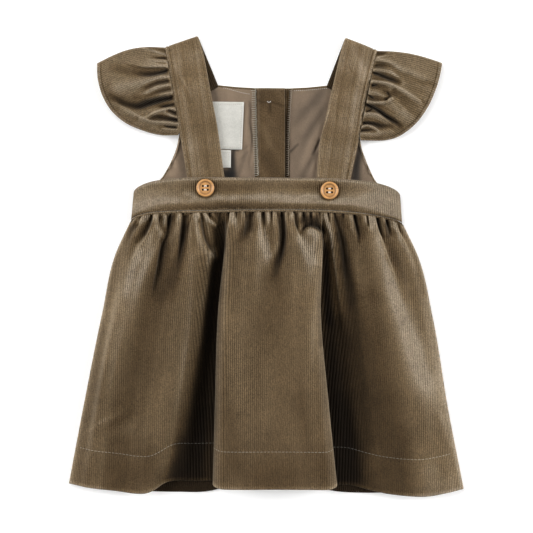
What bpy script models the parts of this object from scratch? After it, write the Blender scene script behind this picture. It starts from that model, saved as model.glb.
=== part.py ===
"""A baby's corduroy pinafore dress, laid flat on its back with the front up.

The neck lies towards +Y, the hem towards -Y, and +Z is up. The origin is on the floor under the middle
of the dress. Every piece that a maker cuts is its own closed wall of cloth, 0.3 mm clear of its neighbours.
Tables and named sizes are in millimetres, and wall() turns them into metres.
"""

import math

import bmesh
import bpy
import numpy as np

MM = 0.001

# Cloth, in millimetres
GAP = 0.3  # between pieces at a seam, and between layers that lie on each other
CORDUROY = 1.2
LINING = 1.0
STRAP = 2.1  # two layers of corduroy, pressed
BAND = 2.4  # two layers of corduroy and their seam allowances
SKIRT = 1.4
HEM_EXTRA = 0.8  # the turned-up layer inside the hem
HEM_DEPTH = 31.0
HEM_STEP = 8.0  # over which the wall thickens at the top of the hem
SKIRT_BACK = 1.3
RUFFLE = 1.4

# The waistband: its two edges, and the height of its face above the floor
BAND_TOP = [  # x, y
    (-112.9, 61.5), (-112.3, 63.6), (-109.4, 66.5), (-103.1, 69.7), (-96.6, 71.7), (-77.6, 74.2),
    (-52.1, 74.9), (0.0, 74.8), (54.2, 74.0), (79.7, 72.3), (93.3, 70.3), (104.1, 67.2),
    (110.6, 63.8), (113.4, 60.8), (114.0, 58.3),
]
BAND_FOOT = [  # x, y
    (-115.0, 37.3), (-113.9, 39.2), (-110.4, 41.3), (-104.3, 43.2), (-97.1, 44.4), (-77.6, 45.6),
    (-52.1, 46.0), (0.0, 46.8), (54.2, 46.0), (79.7, 43.9), (93.7, 41.7), (105.2, 39.4),
    (111.6, 37.5), (114.6, 36.1), (115.6, 35.2),
]
BAND_FACE = [  # x, z
    (-116.0, 2.6), (-113.5, 4.0), (-109.0, 5.3), (-98.0, 6.6), (-80.0, 7.7), (-68.0, 8.9),
    (-52.0, 9.1), (-36.0, 8.9), (-22.0, 8.2), (0.0, 8.2), (28.0, 8.1), (44.0, 8.3), (58.0, 8.5),
    (72.0, 8.1), (84.0, 7.4), (98.0, 6.5), (109.0, 5.3), (113.8, 4.0), (116.5, 2.6),
]
BAND_CROWN = 0.7
BAND_EDGE_DROP = 0.4
BAND_END_THIN = 0.9  # how much thinner the band is at the side seams
BAND_COLUMNS = 40

# The skirt front. Each row is a fold line from waist to hem, in order from the left side seam to the right
# one: where it lies across (x) and how high the face of the cloth is (z) at five stations, and its hem y.
STATIONS = (0.0, 0.12, 0.35, 0.70, 1.0)  # shares of the way from the waist to the hem
SKIRT_FOLDS = [  # name, x at each station, z at each station, hem y
    ("left seam", (-115, -126, -139.6, -155.8, -168.1), (2.9, 2.9, 2.9, 3.0, 3.0), -185.6),
    ("left shoulder", (-109, -118.4, -132, -148.1, -159.2), (5.0, 7.5, 9.0, 9.5, 8.5), -187.3),
    ("left crest", (-92, -105.6, -123.5, -140.5, -148.1), (6.4, 13, 15.5, 15.5, 13), -189.0),
    ("left dip", (-82, -88, -101.4, -121.8, -130.3), (7.0, 8.5, 9.5, 9.5, 8), -190.7),
    ("left panel", (-68.2, -71.6, -76, -92, -106), (7.7, 11.5, 14, 14, 11), -191.8),
    ("left brow", (-50.5, -51, -57, -72, -84), (7.7, 9.5, 10.5, 9.5, 7), -186.1),
    ("left valley", (-41, -42.6, -48, -54.5, -62), (7.4, 5.0, 3.3, 3.3, 3.3), -182.7),
    ("left tuck", (-35.8, -35.2, -36.8, -39.4, -41.2), (7.4, 5.2, 4.4, 4.4, 4.4), -182.5),
    ("centre left edge", (-33.4, -38.2, -41.9, -44.4, -46.1), (7.5, 10, 13, 13.5, 13), -185.6),
    ("centre left brow", (-29.5, -32.5, -35.9, -38.5, -40.2), (7.6, 15.5, 21, 22.5, 21.5), -189.9),
    ("centre left crest", (-19.8, -19.8, -22.3, -24, -24), (7.6, 17.5, 24.5, 26.5, 26), -190.7),
    ("centre dip", (-2.8, -0.2, 2.3, 3.2, 4.9), (7.6, 14.5, 20.5, 23, 23.5), -190.7),
    ("centre right crest", (21, 25.3, 29.5, 32.9, 33.8), (7.6, 17, 24.5, 26.5, 26), -190.7),
    ("centre right brow", (41.4, 42.3, 43.1, 49.1, 54.2), (7.6, 15.5, 21, 22.5, 21.5), -190.7),
    ("centre right edge", (46.6, 48, 48.6, 55, 60.1), (7.5, 10, 13, 13.5, 13), -187.3),
    ("right tuck", (49.4, 45.6, 44.2, 50, 54.4), (7.4, 5.2, 4.4, 4.4, 4.4), -184.4),
    ("right valley", (54.5, 54, 55, 62.4, 70.5), (7.2, 5.0, 3.3, 3.3, 3.3), -184.4),
    ("right slope", (66.9, 66.1, 67.8, 78, 89), (7.2, 6.8, 5.5, 5.2, 5.0), -189.0),
    ("right dip", (81.4, 83.1, 86, 95, 105.5), (7.0, 8.5, 10, 9.5, 8.5), -193.3),
    ("right crest", (95, 99, 109.4, 127, 134.5), (6.4, 13, 16.5, 16.5, 14), -195.3),
    ("right shoulder", (108.6, 116.2, 130.7, 145.5, 157), (5.0, 7.5, 9.5, 9.5, 8.5), -192.0),
    ("right seam", (115.6, 125.6, 139.6, 154.1, 168.1), (2.9, 2.9, 2.9, 3.0, 3.0), -190.3),
]
SKIRT_COLUMNS = 144
SKIRT_FINE_ROWS = (0.0, 3.0, 8.0, 15.0, 24.0, 35.0, 48.0)  # mm below the waist
SKIRT_PLAIN_ROWS = (0.27, 0.35, 0.45, 0.56, 0.67, 0.78, 0.868, 0.94, 1.0)  # shares of the way to the hem
BACK_HEM = [(-168.1, -185.6), (-150, -189.6), (-110, -191.5), (0, -191.8), (110, -192.5), (168.1, -190.3)]

# Gathers along the waist of the skirt front
GATHERS = [  # x of the ridge, how far down it reaches, its height
    (-112.4, 14, 0.7), (-106.5, 18, 0.9), (-101.0, 30, 1.2), (-93.7, 34, 1.4), (-86.9, 26, 1.3),
    (-80.5, 38, 1.4), (-74.2, 24, 1.3), (-67.4, 40, 1.5), (-60.1, 30, 1.5), (-51.8, 34, 1.4),
    (-43.6, 22, 1.3), (-34.2, 36, 1.4), (-28.0, 24, 1.4), (-20.6, 40, 1.5), (-14.0, 22, 1.3),
    (-6.9, 42, 1.5), (1.0, 24, 1.3), (8.4, 28, 1.3), (18.5, 40, 1.5), (28.0, 30, 1.5),
    (34.8, 26, 1.3), (41.2, 34, 1.4), (49.0, 22, 1.4), (55.5, 36, 1.4), (61.8, 28, 1.4),
    (68.8, 34, 1.4), (75.8, 26, 1.3), (82.6, 38, 1.4), (89.9, 28, 1.3), (98.0, 30, 1.2),
    (106.0, 18, 0.9), (112.6, 14, 0.7),
]
GATHER_SEAM_SHARE = 0.45  # of its height, where the band's seam holds a gather down
GATHER_FULL = 8.0  # mm below the seam where a gather is at its full height
GATHER_THICKENING = 0.3  # of a gather's height, added to the wall so that its steep sides stay as thick

# The bodice back: two panels that lap at the centre, their linings and their facings
BACK_TOP = [  # x, y along the left shoulder seam, the neck and the right shoulder seam
    (-67.6, 138.6), (-41.0, 153.5), (-25.7, 152.0), (-9.0, 151.0), (20.2, 150.8), (35.5, 151.6),
    (51.6, 153.1), (77.1, 140.8),
]
BODICE = {
    "left": {
        "shoulder": (-67.6, -41.0),  # x of the shoulder seam's outer and inner end
        "side_seam": -114.2,
        "armhole": [
            (-112.0, 60.0), (-104.0, 64.0), (-96.0, 68.0), (-89.0, 74.2), (-84.6, 81.2), (-81.0, 88.1),
            (-76.9, 98.3), (-74.6, 108.0), (-72.4, 122.0), (-67.6, 138.6),
        ],
        "lining_to": -9.6,
    },
    "right": {
        "shoulder": (77.1, 51.6),
        "side_seam": 114.8,
        "armhole": [
            (112.6, 57.8), (105.0, 62.5), (98.0, 66.5), (93.0, 71.6), (87.3, 83.0), (83.9, 91.6),
            (81.4, 98.9), (79.6, 109.5), (78.6, 123.8), (77.1, 140.8),
        ],
        "lining_to": 20.0,
    },
}
LAP = (-9.0, -6.65, -4.3, 6.0, 15.9)  # columns of the left panel where it climbs onto the right one
RIGHT_EDGE = -3.6  # the hidden edge of the right panel
FACING_COLUMNS = {"left": LAP, "right": (RIGHT_EDGE, 8.0, 19.6)}
PANEL_ROWS = (0.0, 0.12, 0.24, 0.34, 0.44, 0.54, 0.64, 0.74, 0.84, 0.93, 1.0)
NECK_SHOWING = 1.7  # corduroy left showing above the lining
ARMHOLE_SHOWING = 1.5
LINING_SIDE = 105.5  # the linings end short of the side seams
BODICE_FOOT = 0.7  # how far above the waist seam the back panels end
ARMHOLE_REACH = 0.8  # share of a panel's width over which the bend of its armhole dies out

# The straps, from the back neck over a sharp fold at the shoulder and down behind the waistband
STRAPS = {
    "left": {
        "back": [(-67.6, 138.6), (-41.0, 153.5)],  # outer and inner corner at the bodice
        "fold": [(-86.4, 185.6), (-58.1, 195.4)],
        "outer": [(-86.4, 185.6), (-81.5, 158.3), (-75.6, 126.0), (-72.7, 108.5), (-67.4, 75.8), (-66.0, 67.0)],
        "inner": [(-58.1, 195.4), (-53.6, 180.0), (-46.9, 145.6), (-41.5, 117.3), (-35.7, 75.8), (-34.4, 67.0)],
        "rest": 4.2,  # height of its inner face where it crosses the bodice and the label
    },
    "right": {
        "back": [(77.1, 140.8), (51.6, 153.1)],
        "fold": [(94.7, 183.0), (67.3, 194.0)],
        "outer": [(94.7, 183.0), (90.2, 164.5), (84.3, 139.6), (79.4, 110.2), (71.9, 74.0), (70.5, 66.0)],
        "inner": [(67.3, 194.0), (62.1, 180.8), (55.5, 152.6), (50.2, 124.4), (45.3, 102.7), (42.4, 66.0)],
        "rest": 2.9,
    },
}
STRAP_BEND = 0.4  # inside radius of the shoulder fold
STRAP_ACROSS = (0.0, 0.08, 0.5, 0.92, 1.0)
STRAP_DROP = (0.6, 0.06, 0.0, 0.06, 0.6)  # how far the face falls at each of those shares
STRAP_BACK_ROWS = 4
STRAP_FRONT_ROWS = 12
BEND_TURNS = (-60, -30, 0, 30, 60)  # degrees round a fold
FOLD_SEAM = 0.5  # clearance of a strap's end from the shoulder seam

# The flutter sleeves. Each row of seam_hem is a section from the strap out to the hem.
FLUTTERS = {
    "left": {
        "seam_hem": [  # x, y at the strap, x, y at the hem
            (-86.9, 185.4, -143.6, 172.2), (-85.6, 176.5, -142.8, 158.6), (-83.9, 166.3, -138.8, 144.2),
            (-81.8, 154.4, -131.1, 131.4), (-79.7, 142.5, -119.2, 121.2), (-77.6, 131.4, -104.8, 114.8),
            (-75.9, 122.1, -90.3, 111.0), (-74.3, 113.6, -75.6, 109.3),
        ],
        "back_seam": [(-86.9, 185.2), (-68.3, 139.4), (-73.1, 122.0), (-75.0, 110.6)],
        "bow": 5.6,  # how far the folded top edge bows up
        "ridges": [  # share along the strap, share along the hem, height, how far out it reaches
            (0.09, 0.05, 1.6, 0.8), (0.19, 0.09, 2.2, 0.9), (0.26, 0.12, 1.2, 0.45), (0.36, 0.22, 2.8, 1.0),
            (0.45, 0.32, 1.8, 0.6), (0.53, 0.38, 1.6, 0.5), (0.64, 0.48, 2.8, 1.0), (0.73, 0.60, 2.0, 0.7),
            (0.85, 0.78, 2.0, 0.8), (0.95, 0.93, 1.0, 0.6),
        ],
    },
    "right": {
        "seam_hem": [
            (95.2, 182.7, 149.0, 172.6), (93.3, 173.9, 146.8, 160.3), (91.2, 163.7, 143.0, 147.6),
            (89.0, 152.7, 136.6, 134.0), (86.9, 141.6, 126.9, 120.8), (84.6, 130.6, 113.7, 110.2),
            (82.6, 120.4, 100.1, 105.5), (80.7, 110.0, 82.0, 104.6),
        ],
        "back_seam": [(95.2, 182.6), (77.8, 141.4), (79.3, 123.8), (80.7, 107.0)],
        "bow": 2.9,
        "ridges": [
            (0.05, 0.08, 1.2, 0.8), (0.16, 0.26, 2.2, 0.8), (0.28, 0.40, 1.2, 0.4), (0.37, 0.47, 3.0, 1.0),
            (0.48, 0.57, 1.8, 0.6), (0.58, 0.66, 2.8, 1.0), (0.75, 0.80, 2.2, 0.8), (0.85, 0.88, 1.8, 0.7),
            (0.94, 0.95, 1.0, 0.6),
        ],
    },
}
RUFFLE_BEND = 0.4  # inside radius of the fold at the top of a flutter
RIDGE_WIDTH = 0.036  # half width of a gather, as a share of the strap seam
RUFFLE_PUFF = 1.9  # how far the middle of a flutter stands up
RUFFLE_HEM = 4.1  # height of its hem
RUFFLE_ROWS = 44
RUFFLE_BACK_ROWS = 10
RUFFLE_SEAM = 0.5  # clearance of a flutter from its strap
RUFFLE_ALONG_STRAP = 0.62  # share of the strap's front part that a flutter is sewn to
RUFFLE_OUT = (0.0, 0.12, 0.28, 0.46, 0.66, 0.85, 1.0)  # shares of the way from the strap to the hem
BACK_INSET = 0.93  # the hidden back half stops short of the front half's hem

# Labels and buttons
LABEL_MAIN = [(-53.8, 99.1), (-20.6, 98.5), (-18.9, 139.1), (-52.9, 139.5)]
LABEL_SIZE = [(-45.3, 83.2), (-30.2, 83.2), (-30.0, 98.1), (-45.3, 98.2)]
BUTTONS = {"button_left": (-51.7, 65.9), "button_right": (53.7, 63.7)}
BUTTON_DIAMETER = 15.3
BUTTON_PROFILE = [  # share of the radius, height, from the middle of the dish over the rim to the foot
    (0.0, 1.5), (0.62, 1.5), (0.74, 2.1), (0.84, 2.5), (0.94, 2.3), (1.0, 1.6), (0.96, 0.5), (0.82, 0.0),
    (0.0, 0.0),
]
BUTTON_STEPS = 20
HOLE_OFFSET = (1.9, 1.55)  # of each sewing hole from the middle
HOLE_DIAMETER = 1.5

COLOURS = {  # base colour, roughness
    "corduroy": ((0.135, 0.100, 0.062, 1.0), 0.85),
    "lining": ((0.150, 0.115, 0.083, 1.0), 0.70),
    "label": ((0.720, 0.660, 0.540, 1.0), 0.80),
    "wood": ((0.560, 0.300, 0.120, 1.0), 0.50),
}


def hermite(knots, values, at):
    """Read a smooth curve through rows of values, given at rising knots."""
    knots = np.asarray(knots, float)
    values = np.asarray(values, float)
    tangents = np.gradient(values, knots, axis=0)
    at = np.asarray(at, float)
    first = np.clip(np.searchsorted(knots, at, side="right") - 1, 0, len(knots) - 2)
    span = (knots[first + 1] - knots[first])[:, None]
    t = (at - knots[first])[:, None] / span
    return (
        (1 + 2 * t) * (1 - t) ** 2 * values[first]
        + t * (1 - t) ** 2 * span * tangents[first]
        + t * t * (3 - 2 * t) * values[first + 1]
        + t * t * (t - 1) * span * tangents[first + 1]
    )


def along(points, samples=40):
    """Dense points on the smooth curve through a few, and how far along it each lies."""
    points = np.asarray(points, float)
    steps = np.linalg.norm(np.diff(points, axis=0), axis=1)
    knots = np.concatenate([[0.0], np.cumsum(np.sqrt(steps))])
    dense = hermite(knots, points, np.linspace(0.0, knots[-1], samples * (len(points) - 1) + 1))
    length = np.concatenate([[0.0], np.cumsum(np.linalg.norm(np.diff(dense, axis=0), axis=1))])
    return dense, length


def edge(*runs):
    """Make an edge of smooth runs that meet at corners, read by shares of its length."""
    traced = [along(run) for run in runs]
    points = np.concatenate([dense for dense, _ in traced])
    ends = np.cumsum([0.0, *(length[-1] for _, length in traced)])
    shares = np.concatenate([start + length for start, (_, length) in zip(ends, traced)]) / ends[-1]

    def at(share):
        return np.stack([np.interp(share, shares, points[:, axis]) for axis in (0, 1)], -1)

    return at


def ease(low, high, x):
    """Rise smoothly from 0 at low to 1 at high."""
    t = np.clip((x - low) / (high - low), 0.0, 1.0)
    return t * t * (3 - 2 * t)


def net(across, up):
    """The shares of a grid with these columns and rows."""
    return np.meshgrid(np.asarray(across, float), np.asarray(up, float))


def raised(plan, height):
    """Plan points lifted to a height."""
    return np.concatenate([plan, (plan[..., 0] * 0 + height)[..., None]], -1)


def normals(surface):
    """Unit normals of a dense net whose rows run down it and whose columns run to the right."""
    normal = np.cross(np.gradient(surface, axis=0), np.gradient(surface, axis=1))
    return normal / np.linalg.norm(normal, axis=-1, keepdims=True)


def material(kind):
    """The Principled material of one kind of cloth, made once."""
    if kind in bpy.data.materials:
        return bpy.data.materials[kind]
    colour, roughness = COLOURS[kind]
    made = bpy.data.materials.new(kind)
    made.use_nodes = True
    shader = made.node_tree.nodes["Principled BSDF"]
    shader.inputs["Base Color"].default_value = colour
    shader.inputs["Roughness"].default_value = roughness
    shader.inputs["Metallic"].default_value = 0.0
    made.diffuse_color = colour
    return made


def add_object(name, mesh, kind, collection):
    """Put a mesh in the scene as one named piece."""
    mesh.materials.append(material(kind))
    piece = bpy.data.objects.new(name, mesh)
    collection.objects.link(piece)
    return piece


def wall(name, face, back, kind, collection, fine_rows=0):
    """Build a closed wall between two nets of points, the face and the back of the cloth.

    With fine_rows, every second column of the nets ends at that row.
    """
    rows, columns = (n - 1 for n in face.shape[:2])
    grid = bmesh.new()
    bmesh.ops.create_grid(grid, x_segments=columns // 2 if fine_rows else columns, y_segments=rows, size=0.5)

    def row_of(vert):
        return round((vert.co.y + 0.5) * rows)

    if fine_rows:
        level = [e for e in grid.edges if row_of(e.verts[0]) == row_of(e.verts[1]) < fine_rows]
        bmesh.ops.subdivide_edges(grid, edges=level, cuts=1, use_grid_fill=True)
    places = [(row_of(v), round((v.co.x + 0.5) * columns)) for v in grid.verts]
    fronts = grid.verts[:]
    whole = fronts + grid.edges[:] + grid.faces[:]
    made = bmesh.ops.extrude_face_region(grid, geom=whole, use_keep_orig=True)["geom"]
    backs = [item for item in made if isinstance(item, bmesh.types.BMVert)]
    by_plan = {(round(v.co.x, 5), round(v.co.y, 5)): v for v in backs}
    pairs = [(v, by_plan[round(v.co.x, 5), round(v.co.y, 5)]) for v in fronts]
    for (front, rear), place in zip(pairs, places):
        front.co = face[place] * MM
        rear.co = back[place] * MM
    bmesh.ops.recalc_face_normals(grid, faces=grid.faces[:])
    if grid.calc_volume(signed=True) < 0:
        bmesh.ops.reverse_faces(grid, faces=grid.faces[:])
    mesh = bpy.data.meshes.new(name)
    grid.to_mesh(mesh)
    grid.free()
    return add_object(name, mesh, kind, collection)


def read_table(table, x):
    """Read a smooth curve, given as rows of x and its value, at any x."""
    table = np.asarray(table, float)
    return hermite(table[:, 0], table[:, 1:], np.ravel(x))[:, 0].reshape(np.shape(x))


def waist_line(x):
    """The y of the seam between the band and the skirt."""
    return np.interp(x, *np.transpose(BAND_FOOT))


def crowned(v):
    """How far the band's face stands above its edges, v of the way up it."""
    return BAND_CROWN * np.sin(math.pi * np.clip(v, 0.02, 0.98)) ** 0.7 - BAND_EDGE_DROP


def build_waistband(collection):
    """The front waistband: crowned, with rounded upper corners, falling to the side seams."""
    shares = np.linspace(0.0, math.pi, BAND_COLUMNS + 1)
    u, v = net(0.5 - 0.5 * np.cos(shares), (0.0, 0.06, 0.35, 0.65, 0.94, 1.0))
    plan = (1 - v[..., None]) * edge(BAND_FOOT)(u) + v[..., None] * edge(BAND_TOP)(u)
    height = read_table(BAND_FACE, plan[..., 0])
    thinner = BAND_END_THIN * (1 - ease(0.0, 0.02, np.minimum(u, 1 - u)))
    back = raised(plan, height - BAND + thinner)
    wall("waistband_front", raised(plan, height + crowned(v)), back, "corduroy", collection)


def skirt_surface(rows=121, columns=961):
    """The smooth face of the skirt front, without gathers, on a dense even net."""
    down = np.linspace(0.0, 1.0, rows)
    across = hermite(STATIONS, np.transpose([fold[1] for fold in SKIRT_FOLDS]), down)
    height = hermite(STATIONS, np.transpose([fold[2] for fold in SKIRT_FOLDS]), down)
    hem = np.array([fold[3] for fold in SKIRT_FOLDS])
    waist = waist_line(across[0]) - GAP
    surface = np.empty((rows, columns, 3))
    for row, share in enumerate(down):
        y = waist + (hem - waist) * share
        dense, length = along(np.stack([across[row], y, height[row]], -1), samples=24)
        even = np.linspace(0.0, length[-1], columns)
        for axis in range(3):
            surface[row, :, axis] = np.interp(even, length, dense[:, axis])
    return surface


def gather_height(surface, share_across, below):
    """How far the gathers move the skirt's face, at shares across it and millimetres below the waist."""
    ridge, reach, rise = np.transpose(GATHERS)
    ridge_share = np.interp(ridge, surface[0, :, 0], np.linspace(0.0, 1.0, surface.shape[1]))
    phase = np.interp(share_across, ridge_share, np.arange(len(ridge)), left=-0.5, right=len(ridge) - 0.5)
    reach = np.interp(share_across, ridge_share, reach)
    rise = np.interp(share_across, ridge_share, rise)
    held = GATHER_SEAM_SHARE + (1 - GATHER_SEAM_SHARE) * ease(0.0, GATHER_FULL, below)
    fade = np.exp(-(np.maximum(below - GATHER_FULL, 0.0) / reach) ** 2)
    ends = ease(0.0, 0.03, np.minimum(share_across, 1 - share_across))
    return rise * held * fade * ends * np.cos(2 * math.pi * phase)


def build_skirt_front(collection):
    """The gathered front panel, with its large folds and a doubled hem."""
    surface = skirt_surface()
    length = np.ptp(surface[:, surface.shape[1] // 2, 1])
    down = np.array([*(mm / length for mm in SKIRT_FINE_ROWS), *SKIRT_PLAIN_ROWS])
    pick = np.linspace(0, surface.shape[1] - 1, SKIRT_COLUMNS + 1).round().astype(int)
    place, facing = (
        hermite(np.linspace(0.0, 1.0, len(dense)), dense[:, pick].reshape(len(dense), -1), down).reshape(
            len(down), len(pick), 3
        )
        for dense in (surface, normals(surface))
    )
    u, v = net(np.linspace(0.0, 1.0, SKIRT_COLUMNS + 1), down)
    gathers = gather_height(surface, u, v * length)[..., None]
    below = (v * length)[..., None]
    inside = ease(0.0, 0.02, np.minimum(u, 1 - u))[..., None]
    hem = HEM_EXTRA * inside * ease(length - HEM_DEPTH - HEM_STEP, length - HEM_DEPTH, below)
    face = place + facing * gathers
    back = face - facing * (SKIRT + hem + GATHER_THICKENING * np.abs(gathers))
    back[..., 2] = np.maximum(back[..., 2], SKIRT_BACK + GAP)
    wall("skirt_front", face, back, "corduroy", collection, fine_rows=len(SKIRT_FINE_ROWS) - 1)


def build_skirt_back(collection):
    """The back panel, flat on the floor beneath the front one."""
    down = np.linspace(0.0, 1.0, 9)
    left, right = (hermite(STATIONS, np.array(SKIRT_FOLDS[k][1])[:, None], down) for k in (0, -1))
    x = left + (right - left) * np.linspace(0.0, 1.0, 25)
    waist = waist_line(x[0]) - GAP
    y = waist + (read_table(BACK_HEM, x[-1]) - waist) * down[:, None]
    plan = np.stack([x, y], -1)
    wall("skirt_back", raised(plan, SKIRT_BACK), raised(plan, 0.0), "corduroy", collection)


def lap_height(x):
    """How far the left bodice panel is lifted where it lies on the right one and its facing."""
    return (CORDUROY + LINING + 2 * GAP) * ease(LAP[0], LAP[2], x)


def panel(foot_x, top_x, drop=0.0, armhole=None):
    """Plan points between the waist and the neck; the first column bends to the armhole."""
    foot_x, top_x, up = (np.asarray(a, float) for a in (foot_x, top_x, PANEL_ROWS))
    foot = np.stack([foot_x, waist_line(foot_x) + BODICE_FOOT], -1)
    top = np.stack([top_x, np.interp(top_x, *np.transpose(BACK_TOP)) - drop], -1)
    plan = foot + (top - foot) * up[:, None, None]
    if armhole is not None:
        side = edge([foot[0], armhole[0]], [*armhole[:-1], top[0]])(up)
        fade = 1 - ease(0.0, ARMHOLE_REACH, np.linspace(0.0, 1.0, len(foot_x)))
        plan = plan + fade[:, None] * (side - plan[:, 0])[:, None, :]
    return plan


def panel_columns(side, inner, side_x):
    """The x of a panel's columns at the waist and at the top, from the armhole in to an inner edge."""
    outer_end, inner_end = BODICE[side]["shoulder"]
    top = [*np.linspace(outer_end, inner_end, 4), *np.linspace(inner_end, inner, 6)[1:]]
    return np.linspace(side_x, inner, len(top)), np.array(top)


def build_bodice(collection):
    """The two back panels, their linings and the two facings of the centre opening."""
    on_floor = CORDUROY + GAP
    for side, shape in BODICE.items():
        inner = LAP[0] if side == "left" else RIGHT_EDGE
        foot_x, top_x = panel_columns(side, inner, shape["side_seam"])
        if side == "left":
            foot_x, top_x = (np.append(x, LAP[1:]) for x in (foot_x, top_x))
        plan = panel(foot_x, top_x, armhole=shape["armhole"])
        lift = lap_height(plan[..., 0]) if side == "left" else 0.0
        wall(f"bodice_back_{side}", raised(plan, lift + CORDUROY), raised(plan, lift), "corduroy", collection)

        inward = 1 if side == "left" else -1
        armhole = np.array(shape["armhole"]) + (inward * ARMHOLE_SHOWING, 0.0)
        armhole[:, 0] = np.clip(armhole[:, 0], -LINING_SIDE, LINING_SIDE)
        foot_x, top_x = panel_columns(side, shape["lining_to"], armhole[0][0])
        top_x[0] += inward * ARMHOLE_SHOWING
        plan = panel(foot_x, top_x, NECK_SHOWING, armhole)
        wall(f"lining_{side}", raised(plan, on_floor + LINING), raised(plan, on_floor), "lining", collection)

        columns = FACING_COLUMNS[side]
        plan = panel(columns, columns, NECK_SHOWING)
        low = on_floor + (lap_height(plan[..., 0]) if side == "left" else 0.0)
        wall(f"facing_{side}", raised(plan, low + LINING), raised(plan, low), "corduroy", collection)


def fold_frame(outer, inner):
    """The unit direction that a fold line between two plan points faces, away from the hem."""
    along_fold = (inner - outer) / np.linalg.norm(inner - outer)
    facing = np.array([-along_fold[1], along_fold[0]])
    return facing if facing[1] > 0 else -facing


def fold_rows(line, facing, thick, bend):
    """The face and the back of a wall turning over a fold, from below to above."""
    rows = []
    for radius in (thick + bend, bend):
        rows.append([
            raised(line + facing * radius * math.cos(turn), thick + bend + radius * math.sin(turn))
            for turn in np.radians(BEND_TURNS)
        ])
    return rows


def strap_rest(side, share):
    """The height of a strap's inner face along its front part."""
    start = STRAP + 2 * STRAP_BEND
    return start + (STRAPS[side]["rest"] - start) * ease(0.1, 0.45, share)


def build_strap(side, collection):
    """One strap: its back part, the fold at the shoulder, and the front part down behind the band."""
    shape = STRAPS[side]
    across = np.array(STRAP_ACROSS)[:, None]
    outer, inner = (np.array(point) for point in shape["fold"])
    facing = fold_frame(outer, inner)
    pull = -facing * (STRAP + STRAP_BEND)
    fold_line = outer + (inner - outer) * across + pull
    start = np.array(shape["back"][0]) + (np.array(shape["back"][1]) - shape["back"][0]) * across
    start = start + facing * FOLD_SEAM
    back_part = [start + (fold_line - start) * share for share in np.linspace(0.0, 1.0, STRAP_BACK_ROWS)]
    face = [raised(line, 0.0) for line in back_part]
    back = [raised(line, STRAP) for line in back_part]
    turned_face, turned_back = fold_rows(fold_line, facing, STRAP, STRAP_BEND)
    face += turned_face
    back += turned_back
    outer_edge, inner_edge = edge(shape["outer"]), edge(shape["inner"])
    for share in np.linspace(0.0, 1.0, STRAP_FRONT_ROWS):
        line = outer_edge(share) + (inner_edge(share) - outer_edge(share)) * across + pull * (1 - share) ** 6
        low = strap_rest(side, share)
        face.append(raised(line, low + STRAP - np.array(STRAP_DROP)))
        back.append(raised(line, low))
    wall(f"strap_{side}", np.array(face), np.array(back), "corduroy", collection)


def ridge_height(side, a, b):
    """The gathers of a flutter: soft ridges that fan out from the strap seam."""
    total = np.zeros_like(a)
    for at_strap, at_hem, rise, reach in FLUTTERS[side]["ridges"]:
        middle = at_strap + (at_hem - at_strap) * b
        along_it = (0.55 + 0.45 * ease(0.0, 0.2, b)) * (1 - ease(0.55 * reach, 1.05 * reach, b))
        total += rise * along_it * np.exp(-(((a - middle) / RIDGE_WIDTH) ** 2))
    return total


def flutter_plan(side, a, seam, hem):
    """Plan points of half a flutter, for shares a down the strap; its top edge bows up."""
    b = np.array(RUFFLE_OUT)
    outward = -1 if side == "left" else 1
    plan = (seam + (outward * RUFFLE_SEAM, 0.0))[:, None, :] * (1 - b[:, None]) + hem[:, None, :] * b[:, None]
    plan[..., 1] += FLUTTERS[side]["bow"] * np.sin(math.pi * b) * (1 - a[:, None]) ** 3
    return plan


def build_flutter(side, collection):
    """One flutter sleeve, folded at the shoulder with its gathered front half on its back half."""
    shape = FLUTTERS[side]
    table = np.array(shape["seam_hem"])
    stations = np.linspace(0.0, 1.0, len(table))
    thick = RUFFLE + RUFFLE_BEND

    down = np.linspace(0.0, 1.0, RUFFLE_ROWS + 1)
    sections = hermite(stations, table, down)
    front = flutter_plan(side, down, sections[:, :2], sections[:, 2:])
    facing = fold_frame(front[0, 0], front[0, -1])
    front = front - facing * thick * ((1 - down) ** 8)[:, None, None]
    b, a = net(RUFFLE_OUT, down)
    seam_height = strap_rest(side, a * RUFFLE_ALONG_STRAP) + STRAP - 0.5
    flat = seam_height + (RUFFLE_HEM - seam_height) * ease(0.0, 1.0, b)
    puff = RUFFLE_PUFF * np.sin(math.pi * b) ** 0.8 * ease(0.0, 0.3, a) * (1 - 0.75 * ease(0.65, 1.0, a))
    height = 2 * thick + (flat + puff + ridge_height(side, a, b) - 2 * thick) * ease(0.0, 0.16, a)

    up = np.linspace(1.0, 0.0, RUFFLE_BACK_ROWS + 1)
    sections = hermite(stations, table, up)
    hem = sections[:, :2] * (1 - BACK_INSET) + sections[:, 2:] * BACK_INSET
    rear = flutter_plan(side, up, edge(shape["back_seam"][:2], shape["back_seam"][1:])(up), hem)
    rear = rear + (front[0] - rear) * ((1 - up) ** 6)[:, None, None]
    turned_face, turned_back = fold_rows(front[0], facing, RUFFLE, RUFFLE_BEND)
    face = np.concatenate([raised(rear, 0.0), turned_face, raised(front, height)])
    back = np.concatenate([raised(rear, RUFFLE), turned_back, raised(front, height - RUFFLE)])
    wall(f"flutter_{side}", face, back, "corduroy", collection)


def build_labels(collection):
    """The woven label and the size tag on the lining, both bare."""
    low = CORDUROY + LINING + 2 * GAP
    u, v = (share[..., None] for share in net((0.0, 0.5, 1.0), (0.0, 0.5, 1.0)))
    for name, corners in (("label_main", LABEL_MAIN), ("label_size", LABEL_SIZE)):
        a, b, c, d = np.array(corners)
        plan = (1 - v) * ((1 - u) * a + u * b) + v * ((1 - u) * d + u * c)
        wall(name, raised(plan, low + LINING), raised(plan, low), "label", collection)


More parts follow.
